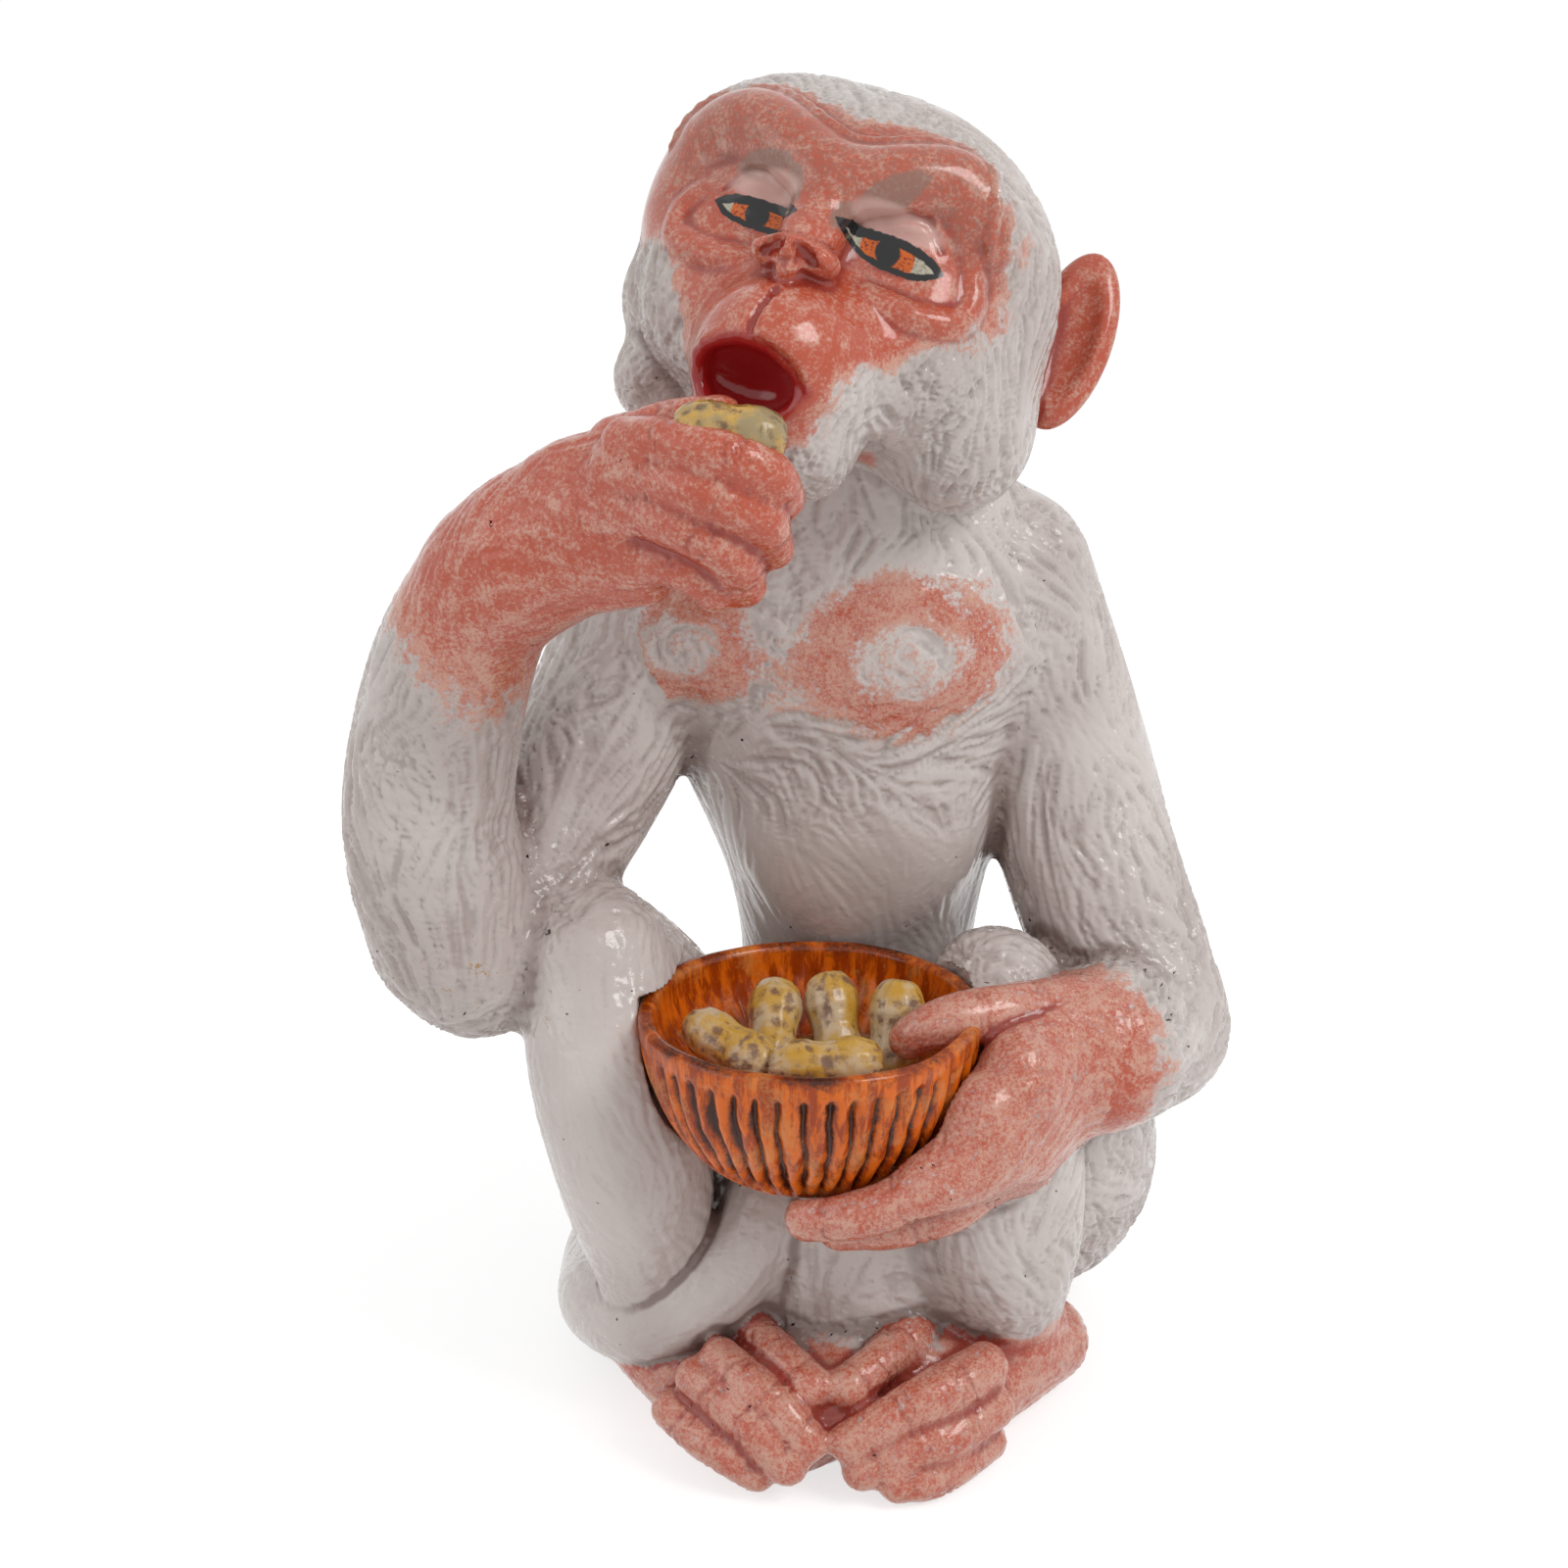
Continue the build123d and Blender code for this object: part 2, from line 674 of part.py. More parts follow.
# Across, back and up from the bowl's foot, in shares of its radius and height, and the
# way that each one points. The first three lie under the others.
nut_shares = [
    ((-0.42, -0.12, 0.45), (0.6, -0.75, 0)),
    ((0.31, -0.19, 0.45), (0.95, 0.3, 0)),
    ((0.12, 0.42, 0.45), (1, 0.1, 0)),
    ((0.15, 0.34, 0.76), (0.15, -0.55, -0.75)),
    ((-0.22, 0.25, 0.78), (-0.08, -0.75, -0.6)),
    ((0.50, 0.22, 0.74), (-0.1, -0.4, -0.85)),
    ((-0.46, -0.12, 0.78), (0.74, -0.65, -0.2)),
    ((0.08, -0.34, 0.77), (0.98, 0.05, 0)),
]
nut_forms = []
for number, (place_shares, way_shares) in enumerate(nut_shares, start=1):
    across_share, back_share, up_share = place_shares
    nut_place = bowl_place + Vector(
        bowl_radius * across_share, bowl_radius * back_share, bowl_height * up_share
    )
    with BuildPart() as nut_form:
        nut(nut_place, way_shares)
    with BuildPart() as peanut:
        add(nut_form.part)
        carve(peanut, bowl, left_thumb_form, *nut_forms)
    finish(peanut, f"peanut_{number}")
    nut_forms.append(nut_form)

held_place_shares = (-0.037, -0.245, 0.806)
held_way_shares = (0.98, 0, -0.14)
with BuildPart() as held_peanut:
    nut(spot(held_place_shares), held_way_shares)
    carve(held_peanut, right_hand_form, head_form, right_thumb_form, *right_fingers)

finish(held_peanut, "held_peanut")

# The middle of the figure's outline goes to X = 0, Y = 0.
middle = Compound(pieces).bounding_box().center()
for shape in pieces:
    export_step(shape.moved(Location((-middle.X, -middle.Y, 0))), f"parts/{shape.label}.step")
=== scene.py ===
import bpy
import numpy as np
from math import cos, sin, pi, radians
from mathutils import Matrix, Vector


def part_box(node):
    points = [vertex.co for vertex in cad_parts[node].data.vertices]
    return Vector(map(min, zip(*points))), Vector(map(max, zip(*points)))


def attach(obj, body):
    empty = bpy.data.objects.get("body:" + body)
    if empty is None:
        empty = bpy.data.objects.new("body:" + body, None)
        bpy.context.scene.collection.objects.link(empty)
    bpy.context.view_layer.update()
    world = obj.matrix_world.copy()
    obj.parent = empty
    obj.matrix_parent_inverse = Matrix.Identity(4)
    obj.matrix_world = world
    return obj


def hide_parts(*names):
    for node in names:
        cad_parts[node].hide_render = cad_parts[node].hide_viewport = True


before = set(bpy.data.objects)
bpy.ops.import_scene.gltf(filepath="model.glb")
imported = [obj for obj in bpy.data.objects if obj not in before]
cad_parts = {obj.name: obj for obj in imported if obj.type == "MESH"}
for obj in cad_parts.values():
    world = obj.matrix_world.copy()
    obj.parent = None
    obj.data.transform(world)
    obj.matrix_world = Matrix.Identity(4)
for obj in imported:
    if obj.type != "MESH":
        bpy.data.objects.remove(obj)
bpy.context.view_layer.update()        # the CAD pieces, each a body's node at rest
print("frame loaded")

# Clay is worked in mm, in the figure's own places; the frame's origin is the middle of its outline.
figure = {
    "middle": (3.984, -0.421, 0.0),
    "bodyStep": 1.1,
    "headStep": 0.9,
    "reach": 12.0,            # how far from the surface the clay's depth is kept
    "seed": 11,
    "mostTriangles": 190000,  # in one piece
}
mm = 0.001


def toFrame(place):
    return (np.asarray(place, float) - figure["middle"]) * mm


# Working the clay.

def unit(rows):
    return rows / np.maximum(np.linalg.norm(rows, axis=1, keepdims=True), 1e-12)


def newClay(low, high, step):
    axes = [np.arange(low[i], high[i] + step, step, dtype=np.float32) for i in range(3)]
    size = tuple(len(a) for a in axes)
    return {
        "low": np.array(low, np.float32), "step": step, "axes": axes, "size": size,
        "depth": np.full(size, figure["reach"], np.float32),
        "nearest": np.full(size, figure["reach"] * 2, np.float32),
        "owner": np.zeros(size, np.uint8), "names": ["air"],
    }


def newLump(clay, low, high):
    # A box of the clay in which one piece is built up before it is pressed on.
    cut = []
    grid = []
    for i in range(3):
        first = max(int((low[i] - clay["low"][i]) / clay["step"]), 0)
        last = min(int((high[i] - clay["low"][i]) / clay["step"]) + 2, clay["size"][i])
        cut.append(slice(first, max(last, first + 1)))
        shape = [1, 1, 1]
        shape[i] = -1
        grid.append(clay["axes"][i][cut[i]].reshape(shape))
    depth = np.full([c.stop - c.start for c in cut], figure["reach"], np.float32)
    return {"cut": tuple(cut), "grid": grid, "depth": depth, "low": [g.flat[0] for g in grid], "step": clay["step"]}


def part(lump, low, high):
    # The slice of a lump round one stroke, with its coordinates.
    cut = []
    for i in range(3):
        n = lump["depth"].shape[i]
        first = min(max(int((low[i] - lump["low"][i]) / lump["step"]), 0), n - 1)
        last = min(max(int((high[i] - lump["low"][i]) / lump["step"]) + 2, first + 1), n)
        cut.append(slice(first, last))
    grid = [lump["grid"][i][tuple(cut[i] if j == i else slice(None) for j in range(3))] for i in range(3)]
    return tuple(cut), grid


def join(old, new, soft):
    if soft <= 0:
        return np.minimum(old, new)
    near = np.maximum(soft - np.abs(old - new), 0) / soft
    return np.minimum(old, new) - near * near * (soft * 0.25)


def oval(places, radii, typical):
    # About how far each place lies outside an oval with these half widths.
    k0 = np.sqrt(sum((p / r) ** 2 for p, r in zip(places, radii)))
    k1 = np.sqrt(sum((p / r ** 2) ** 2 for p, r in zip(places, radii)))
    return (k0 - 1) * (k0 + 1e-3) / (k1 + 1e-3 / typical)


def work(lump, box, new, soft, cut):
    # A form joins the lump, or is taken out of it with `cut`.
    sign = -1 if cut else 1
    lump["depth"][box] = sign * join(sign * lump["depth"][box], new, soft)


def ball(lump, middle, radii, soft=0.0, cut=False):
    middle = np.array(middle, np.float32)
    radii = np.array(radii, np.float32)
    box, grid = part(lump, middle - radii - 8 - soft, middle + radii + 8 + soft)
    work(lump, box, oval([g - m for g, m in zip(grid, middle)], radii, radii.mean()), soft, cut)


def balls(lump, forms, cut=False, at=(0, 0, 0)):
    for middle, radii, soft in forms:
        ball(lump, np.add(middle, at), radii, soft, cut)


def smoothRows(rows, spacing):
    # A row every few mm along a smooth curve through the rows given.
    rows = np.array(rows, float)
    padded = np.vstack([2 * rows[0] - rows[1], rows, 2 * rows[-1] - rows[-2]])
    out = []
    for i in range(1, len(padded) - 2):
        p0, p1, p2, p3 = padded[i - 1:i + 3]
        count = max(int(np.linalg.norm((p2 - p1)[:3]) / spacing), 1)
        for t in np.arange(count) / count:
            out.append(0.5 * (2 * p1 + (p2 - p0) * t + (2 * p0 - 5 * p1 + 4 * p2 - p3) * t ** 2
                              + (3 * p1 - p0 - 3 * p2 + p3) * t ** 3))
    out.append(rows[-1])
    return np.array(out)


def tube(lump, rows, across=None, soft=0.0, spacing=5.0, cut=False):
    # A limb: a run of short tapered lengths, round or, with `across`, oval.
    rows = smoothRows(rows, spacing)
    for a, b in zip(rows[:-1], rows[1:]):
        spread = max(a[3:].max(), b[3:].max()) + 8 + soft
        box, (x, y, z) = part(lump, np.minimum(a[:3], b[:3]) - spread, np.maximum(a[:3], b[:3]) + spread)
        x, y, z = (x - np.float32(a[0])), (y - np.float32(a[1])), (z - np.float32(a[2]))
        way = (b - a)[:3]
        along = (x * way[0] + y * way[1] + z * way[2]) / (way @ way)
        along = np.clip(along, 0, 1).astype(np.float32)
        x, y, z = x - along * way[0], y - along * way[1], z - along * way[2]
        wide = a[3] + (b[3] - a[3]) * along
        if across is None:
            new = np.sqrt(x * x + y * y + z * z) - wide
        else:
            deep = a[4] + (b[4] - a[4]) * along
            way = way / np.linalg.norm(way)
            side = np.array(across, float)
            side -= way * (side @ way)
            side /= np.linalg.norm(side)
            up = np.cross(way, side)
            s = x * side[0] + y * side[1] + z * side[2]
            u = x * up[0] + y * up[1] + z * up[2]
            w = x * way[0] + y * way[1] + z * way[2]
            tip = np.minimum(wide, deep)
            new = oval((s, u, w), (wide, deep, tip), tip)
        work(lump, box, new.astype(np.float32), soft, cut)


def stack(lump, rows, spacing=3.0):
    # Level oval sections, one above the other.
    rows = smoothRows([(0, 0, r[2], r[0], r[1], r[3], r[4]) for r in rows], spacing)
    height = lump["grid"][2].ravel()
    cx, cy, wide, deep = (np.interp(height, rows[:, 2], rows[:, i]).astype(np.float32) for i in (3, 4, 5, 6))
    new = oval((lump["grid"][0] - cx, lump["grid"][1] - cy), (wide, deep), deep)
    beyond = np.maximum(rows[0, 2] - height, height - rows[-1, 2])
    lump["depth"] = join(lump["depth"], np.maximum(new, beyond).astype(np.float32), 0)


def press(clay, lump, name, soft):
    # The lump joins the clay, and the clay near it takes its name.
    cut = lump["cut"]
    new = lump["depth"]
    if name not in clay["names"]:
        clay["names"].append(name)
    closer = new < clay["nearest"][cut]
    clay["nearest"][cut] = np.minimum(clay["nearest"][cut], new)
    clay["owner"][cut][closer] = clay["names"].index(name)
    clay["depth"][cut] = join(clay["depth"][cut], new, soft)


def corners(t):
    # The eight corners of a cell, and how much each counts for a place inside it.
    for dx, dy, dz in np.ndindex(2, 2, 2):
        yield dx, dy, dz, np.abs(1 - dx - t[:, 0]) * np.abs(1 - dy - t[:, 1]) * np.abs(1 - dz - t[:, 2])


def sample(field, clay, points):
    # The field's value between its grid points.
    at = (points - np.array(clay["low"])) / clay["step"]
    at = np.clip(at, 0, np.array(field.shape) - 1.001)
    base = at.astype(int)
    t = at - base
    total = np.zeros(len(points))
    for dx, dy, dz, share in corners(t):
        total += share * field[base[:, 0] + dx, base[:, 1] + dy, base[:, 2] + dz]
    return total


def slope(clay, points):
    h = clay["step"]
    out = np.zeros_like(points)
    for i in range(3):
        d = np.zeros(3)
        d[i] = h
        out[:, i] = sample(clay["depth"], clay, points + d) - sample(clay["depth"], clay, points - d)
    return unit(out)


def settled(lump, places, sink=0.0):
    # The places brought to the lump's surface, or a little under it.
    places = np.array(places, float)
    for _ in range(6):
        away = sample(lump["depth"], lump, places) + sink
        places = places - slope(lump, places) * away[:, None]
    return places


def ridge(lump, places, radius, soft=1.0, rise=0.0, cut=False):
    # A stroke along the surface: a raised line, or a groove with `cut`.
    places = smoothRows(np.array([(*p[:3], p[3] if len(p) > 3 else 1.0) for p in places]), 4.0)
    at = settled(lump, places[:, :3], -rise)
    rows = np.hstack([at, radius * places[:, 3:4]])
    tube(lump, rows, soft=soft, spacing=4.0, cut=cut)


def lumpRound(clay, rows, margin=14.0):
    rows = np.array([r[:4] if len(r) < 5 else (*r[:3], max(r[3:])) for r in rows], float)
    return newLump(clay, (rows[:, :3] - rows[:, 3:]).min(0) - margin, (rows[:, :3] + rows[:, 3:]).max(0) + margin)


# From clay to meshes.

def summed(index, values, count):
    # The values that share an index, added up.
    return np.stack([np.bincount(index, column, count) for column in values.T], 1)


def skin(clay):
    # One closed surface for each name, sharing their edges: a point in each cell where the owner changes.
    depth = clay["depth"]
    owner = np.where(depth < 0, clay["owner"], 0).astype(np.uint8)
    size = np.array(owner.shape)
    cells = size - 1
    stride = np.array([cells[1] * cells[2], cells[2], 1])
    spots, weights, sides, quads = [], [], [], []
    for axis in range(3):
        lower = [slice(1, -1)] * 3
        upper = [slice(1, -1)] * 3
        lower[axis] = slice(0, -1)
        upper[axis] = slice(1, None)
        a, b = owner[tuple(lower)], owner[tuple(upper)]
        at = np.argwhere(a != b)
        offset = np.ones(3, int)
        offset[axis] = 0
        at = at + offset
        head = tuple(at.T)
        tail = at.copy()
        tail[:, axis] += 1
        tail = tuple(tail.T)
        first, last = owner[head], owner[tail]
        d0, d1 = depth[head], depth[tail]
        bare = (first == 0) | (last == 0)
        share = np.where(bare, d0 / np.where(bare, d0 - d1, 1), 0.5)
        spot = at.astype(np.float32)
        spot[:, axis] += np.clip(share, 0.02, 0.98)
        j, k = (axis + 1) % 3, (axis + 2) % 3
        ring = []
        for dj, dk in ((-1, -1), (0, -1), (0, 0), (-1, 0)):
            cell = at.copy()
            cell[:, j] += dj
            cell[:, k] += dk
            ring.append(cell @ stride)
        quads.append(np.stack(ring, 1))
        spots.append(spot)
        weights.append(np.where(bare, 1.0, 1e-4))
        sides.append(np.stack([first, last], 1))
    quads = np.vstack(quads)
    spots = np.vstack(spots)
    weights = np.concatenate(weights)
    sides = np.vstack(sides)
    ids, corner = np.unique(quads.ravel(), return_inverse=True)
    corner = corner.reshape(quads.shape)
    total = np.zeros(len(ids))
    points = np.zeros((len(ids), 3))
    for c in range(4):
        total += np.bincount(corner[:, c], weights, len(ids))
        points += summed(corner[:, c], weights[:, None] * spots, len(ids))
    points /= total[:, None]
    return {"points": points * clay["step"] + clay["low"], "quads": corner, "sides": sides,
            "outer": total > 0.5, "names": clay["names"]}


def relax(mesh, clay, rounds=2):
    # Evens the outer points out and brings them back to the clay's surface.
    outerEdge = (mesh["sides"] == 0).any(1)
    quads = mesh["quads"][outerEdge]
    n = len(mesh["points"])
    links = np.vstack([quads[:, [0, 1]], quads[:, [1, 2]], quads[:, [2, 3]], quads[:, [3, 0]]])
    count = np.bincount(links.ravel(), minlength=n)
    outer = mesh["outer"] & (count > 0)
    for _ in range(rounds):
        points = mesh["points"].copy()
        mean = summed(links[:, 0], points[links[:, 1]], n) + summed(links[:, 1], points[links[:, 0]], n)
        mean[outer] /= count[outer, None]
        points[outer] = 0.5 * (points[outer] + mean[outer])
        away = sample(clay["depth"], clay, points[outer])
        points[outer] -= slope(clay, points[outer]) * away[:, None]
        mesh["points"] = points
    return mesh


def normals(mesh):
    # Each outer point's normal, from the faces that show.
    shown = (mesh["sides"] == 0).any(1)
    quads = mesh["quads"][shown]
    turned = mesh["sides"][shown, 0] == 0
    p = mesh["points"]
    face = np.cross(p[quads[:, 2]] - p[quads[:, 0]], p[quads[:, 3]] - p[quads[:, 1]])
    face[turned] *= -1
    out = np.zeros_like(p)
    for c in range(4):
        out += summed(quads[:, c], face, len(p))
    return unit(out)


def placed(name, data):
    holder = bpy.data.objects.new(name, data)
    bpy.context.scene.collection.objects.link(holder)
    return holder


def thinned(piece, share):
    # Fewer faces, taken first from the walls between pieces, which nobody sees.
    modifier = piece.modifiers.new("fewer", "DECIMATE")
    modifier.ratio = share
    modifier.vertex_group = "walls"
    modifier.use_collapse_triangulate = True
    graph = bpy.context.evaluated_depsgraph_get()
    slim = bpy.data.meshes.new_from_object(piece.evaluated_get(graph), preserve_all_data_layers=True, depsgraph=graph)
    piece.modifiers.clear()
    piece.vertex_groups.clear()
    old = piece.data
    piece.data = slim
    bpy.data.meshes.remove(old)
    slim.name = piece.name


def toObject(mesh, name, points, pointNormals, fields, material):
    # One named piece of the skin as a mesh of its own.
    label = mesh["names"].index(name)
    first = mesh["sides"][:, 0] == label
    last = mesh["sides"][:, 1] == label
    quads = np.vstack([mesh["quads"][first], mesh["quads"][last][:, ::-1]])
    used, corner = np.unique(quads.ravel(), return_inverse=True)
    data = bpy.data.meshes.new(name)
    data.vertices.add(len(used))
    data.vertices.foreach_set("co", points[used].astype(np.float32).ravel())
    data.loops.add(len(corner))
    data.loops.foreach_set("vertex_index", corner.astype(np.int32).ravel())
    data.polygons.add(len(quads))
    data.polygons.foreach_set("loop_start", np.arange(0, len(corner), 4, dtype=np.int32))
    data.polygons.foreach_set("loop_total", np.full(len(quads), 4, np.int32))
    data.update(calc_edges=True)
    data.shade_smooth()
    for key, values in {**fields, "facing": pointNormals}.items():
        if values.ndim == 1:
            layer = data.attributes.new(key, "FLOAT", "POINT")
            layer.data.foreach_set("value", values[used].astype(np.float32))
        else:
            layer = data.attributes.new(key, "FLOAT_VECTOR", "POINT")
            layer.data.foreach_set("vector", values[used].astype(np.float32).ravel())
    piece = placed("clay_" + name, data)
    if 2 * len(quads) > figure["mostTriangles"]:
        walls = piece.vertex_groups.new(name="walls")
        walls.add([int(i) for i in np.flatnonzero(~mesh["outer"][used])], 1.0, "REPLACE")
        thinned(piece, figure["mostTriangles"] / (2 * len(quads)))
        data = piece.data
    facing = np.empty(len(data.vertices) * 3, np.float32)
    data.attributes["facing"].data.foreach_get("vector", facing)
    data.normals_split_custom_set_from_vertices(facing.reshape(-1, 3).tolist())
    data.attributes.remove(data.attributes["facing"])
    data.materials.clear()
    data.materials.append(material)
    return piece


# Brush strokes.

tilt = np.array([(0.36, 0.48, -0.8), (-0.8, 0.6, 0.0), (0.48, 0.64, 0.6)])
table = np.random.default_rng(figure["seed"]).random((64, 64, 64)).astype(np.float32)


def grain(points, size):
    # Smooth random values from 0 to 1 with lumps of the given size.
    at = points @ tilt / size
    base = np.floor(at).astype(int)
    t = (at - base).astype(np.float32)
    t = t * t * (3 - 2 * t)
    total = np.zeros(len(points), np.float32)
    for dx, dy, dz, share in corners(t):
        total += share * table[(base[:, 0] + dx) & 63, (base[:, 1] + dy) & 63, (base[:, 2] + dz) & 63]
    return total


def combed(points, pointNormals, combs, size, length):
    # Grain drawn out along the combing directions, which gives strokes that follow them.
    combs = np.array(combs, float)
    places = combs[:, :3]
    ways = unit(combs[:, 3:6])
    reach = combs[:, 6]

    def heading(at):
        gap = ((at[:, None, :] - places[None]) ** 2).sum(2)
        near = np.exp(-np.clip(gap / (2 * reach ** 2), 0, 60)) + 1e-20 / (gap + 1)
        way = near @ ways
        way -= pointNormals * (way * pointNormals).sum(1, keepdims=True)
        return unit(way)

    bend = (grain(points, 17.0) - 0.5) * 2.0
    sideways = np.cross(pointNormals, heading(points))
    total = grain(points, size)
    pace = 2.0
    steps = int(length / pace)
    for sign in (1, -1):
        at = points.copy()
        for _ in range(steps):
            at = at + (heading(at) * np.cos(bend)[:, None] + sideways * np.sin(bend)[:, None]) * (pace * sign)
            total += grain(at, size)
    total /= 2 * steps + 1
    return total


def inside(points, outline):
    # How far each 2-D point lies inside a closed outline; less than nothing outside it.
    outline = np.array(outline, float)
    far = np.full(len(points), 1e9)
    crossings = np.zeros(len(points), int)
    for a, b in zip(outline, np.roll(outline, -1, 0)):
        edge = b - a
        t = np.clip(((points - a) @ edge) / (edge @ edge), 0, 1)
        far = np.minimum(far, ((points - a - t[:, None] * edge) ** 2).sum(1))
        over = (a[1] > points[:, 1]) != (b[1] > points[:, 1])
        at = a[0] + (points[:, 1] - a[1]) / (b[1] - a[1] if b[1] != a[1] else 1e-9) * edge[0]
        crossings += over & (points[:, 0] < at)
    return np.sqrt(far) * np.where(crossings % 2, 1, -1)


def ease(values, low, high):
    t = np.clip((values - low) / (high - low), 0, 1)
    return t * t * (3 - 2 * t)


def hollows(clay, points, reach):
    # How sunken each place is: more than nothing in a crease, less on a crown.
    total = -6 * sample(clay["depth"], clay, points)
    for i in range(3):
        for sign in (reach, -reach):
            shift = np.zeros(3)
            shift[i] = sign
            total += sample(clay["depth"], clay, points + shift)
    return -total / reach


# Body.

trunk = {
    "rows": [      # across, back, up, half width, half depth
        (23, 60, -4, 50, 46), (23, 60, 14, 58, 53), (23, 57, 48, 58, 53), (23, 48, 85, 46, 44),
        (24, 39, 120, 38, 37), (24, 34, 160, 42, 39), (22, 29, 205, 57, 45), (21, 25, 240, 66, 47),
        (20, 23, 268, 63, 44), (19, 24, 288, 55, 42), (18, 22, 302, 46, 39), (18, 17, 316, 38, 31),
        (18, 10, 328, 31, 22), (18, 6, 336, 20, 12),
    ],
    "chest": [     # middle, half widths, softness
        ((40, 2, 248), (33, 22, 27), 10), ((-22, 4, 249), (26, 19, 23), 10), ((24, 4, 186), (34, 14, 30), 16),
    ],
}

body = newClay((-140, -122, -3), (146, 122, 350), figure["bodyStep"])

lump = newLump(body, (-60, -60, -3), (100, 122, 330))
stack(lump, trunk["rows"])
balls(lump, trunk["chest"])
press(body, lump, "torso", 0)

limbs = {
    # name: (rows, softness of its joint)
    "left_thigh": ([(66, 76, 46, 40), (79, 42, 51, 46), (82, 8, 85, 38), (74, -12, 119, 27), (66, -22, 140, 22)], 7),
    "right_thigh": ([(-20, 76, 46, 40), (-28, 42, 58, 45), (-40, 4, 106, 34), (-52, -16, 141, 26),
                     (-59, -30, 158, 22)], 7),
    "left_shin": ([(66, -27, 136, 21), (67, -40, 105, 26), (68, -42, 70, 26), (70, -36, 42, 20), (72, -30, 25, 18)], 6),
    "right_shin": ([(-58, -33, 156, 22), (-52, -42, 125, 27), (-46, -42, 85, 24), (-42, -37, 52, 18),
                    (-41, -33, 28, 17)], 6),
    "right_upper_arm": ([(-36, 26, 258, 29), (-61, 8, 207, 27), (-82, -13, 173, 25), (-95, -26, 153, 24)], 8),
    "right_forearm": ([(-102, -31, 165, 26), (-106, -32, 188, 27), (-107, -33, 211, 26), (-102, -38, 238, 25),
                       (-95, -46, 261, 23.5), (-85, -54, 281, 21.5), (-73, -62, 294, 21)], 7),
    "left_upper_arm": ([(68, 26, 262, 29), (83, 27, 222, 28), (91, 22, 196, 28), (100, 14, 166, 28),
                        (111, 4, 138, 27), (116, -3, 122, 25)], 7),
    "left_forearm": ([(116, -4, 121, 25.5), (108, -22, 124, 25), (99, -38, 127, 24)], 8),
}
ovals = {
    # name: (rows, across, softness)
    "right_foot": ([(-38, -18, 16, 20, 16), (-25, -37, 18, 24, 18), (-8, -58, 16, 24, 15), (6, -73, 12, 18, 10)],
                   (1, 0, 0), 5),
    "left_foot": ([(81, -18, 16, 20.5, 16), (64, -37, 18, 22.5, 18), (43, -60, 16, 22, 15), (29, -73, 12, 18, 10)],
                  (1, 0, 0), 5),
    "right_hand": ([(-80, -58, 287, 20, 21), (-66, -66, 298, 19, 23), (-54, -75, 306, 17, 25), (-41, -85, 311, 14, 25)],
                   (0.5, 0.8, 0), 8),
    "left_hand": ([(101, -35, 131, 21, 23), (89, -48, 131, 17, 24), (77, -61, 126, 15, 25), (67, -70, 114, 15, 21)],
                  (0.8, -0.6, 0), 8),
    "tail": ([(8, 102, 19, 17, 17), (-26, 96, 18, 17, 17), (-50, 70, 18, 16, 16), (-59, 40, 19, 15, 15),
              (-60, 8, 22, 15.5, 15.5), (-57, -16, 28, 16, 16), (-45, -37, 35, 16, 16), (-27, -46, 47, 15.5, 15.5),
              (-11, -41, 63, 14.5, 14.5), (-4, -30, 82, 12, 12)], (0, 0, 1), 1.5),
}
extras = {
    # What a limb has besides: a wall between the shins, a web between the feet, the palm round the bowl.
    "left_shin": [((26, -39, 44), (33, 17, 52), 7)],
    "left_hand": [((58, -82, 121), (15, 13, 20), 6), ((46, -88, 112), (16, 12, 11), 6),
                  ((70, -72, 133), (13, 15, 18), 6)],
    "tail": [((2, -37, 46), (18, 13, 36), 6)],
    "right_foot": [((2, -52, 24), (26, 18, 15), 6), ((14, -70, 20), (16, 13, 15), 6)],
    "left_foot": [((32, -52, 26), (28, 18, 15), 6)],
}
for name, (rows, soft) in limbs.items():
    lump = lumpRound(body, rows, 40 if name in extras else 14)
    tube(lump, rows)
    balls(lump, extras.get(name, ()))
    press(body, lump, name, soft)
for name, (rows, across, soft) in ovals.items():
    lump = lumpRound(body, rows, 20)
    tube(lump, rows, across)
    balls(lump, extras.get(name, ()))
    press(body, lump, name, soft)

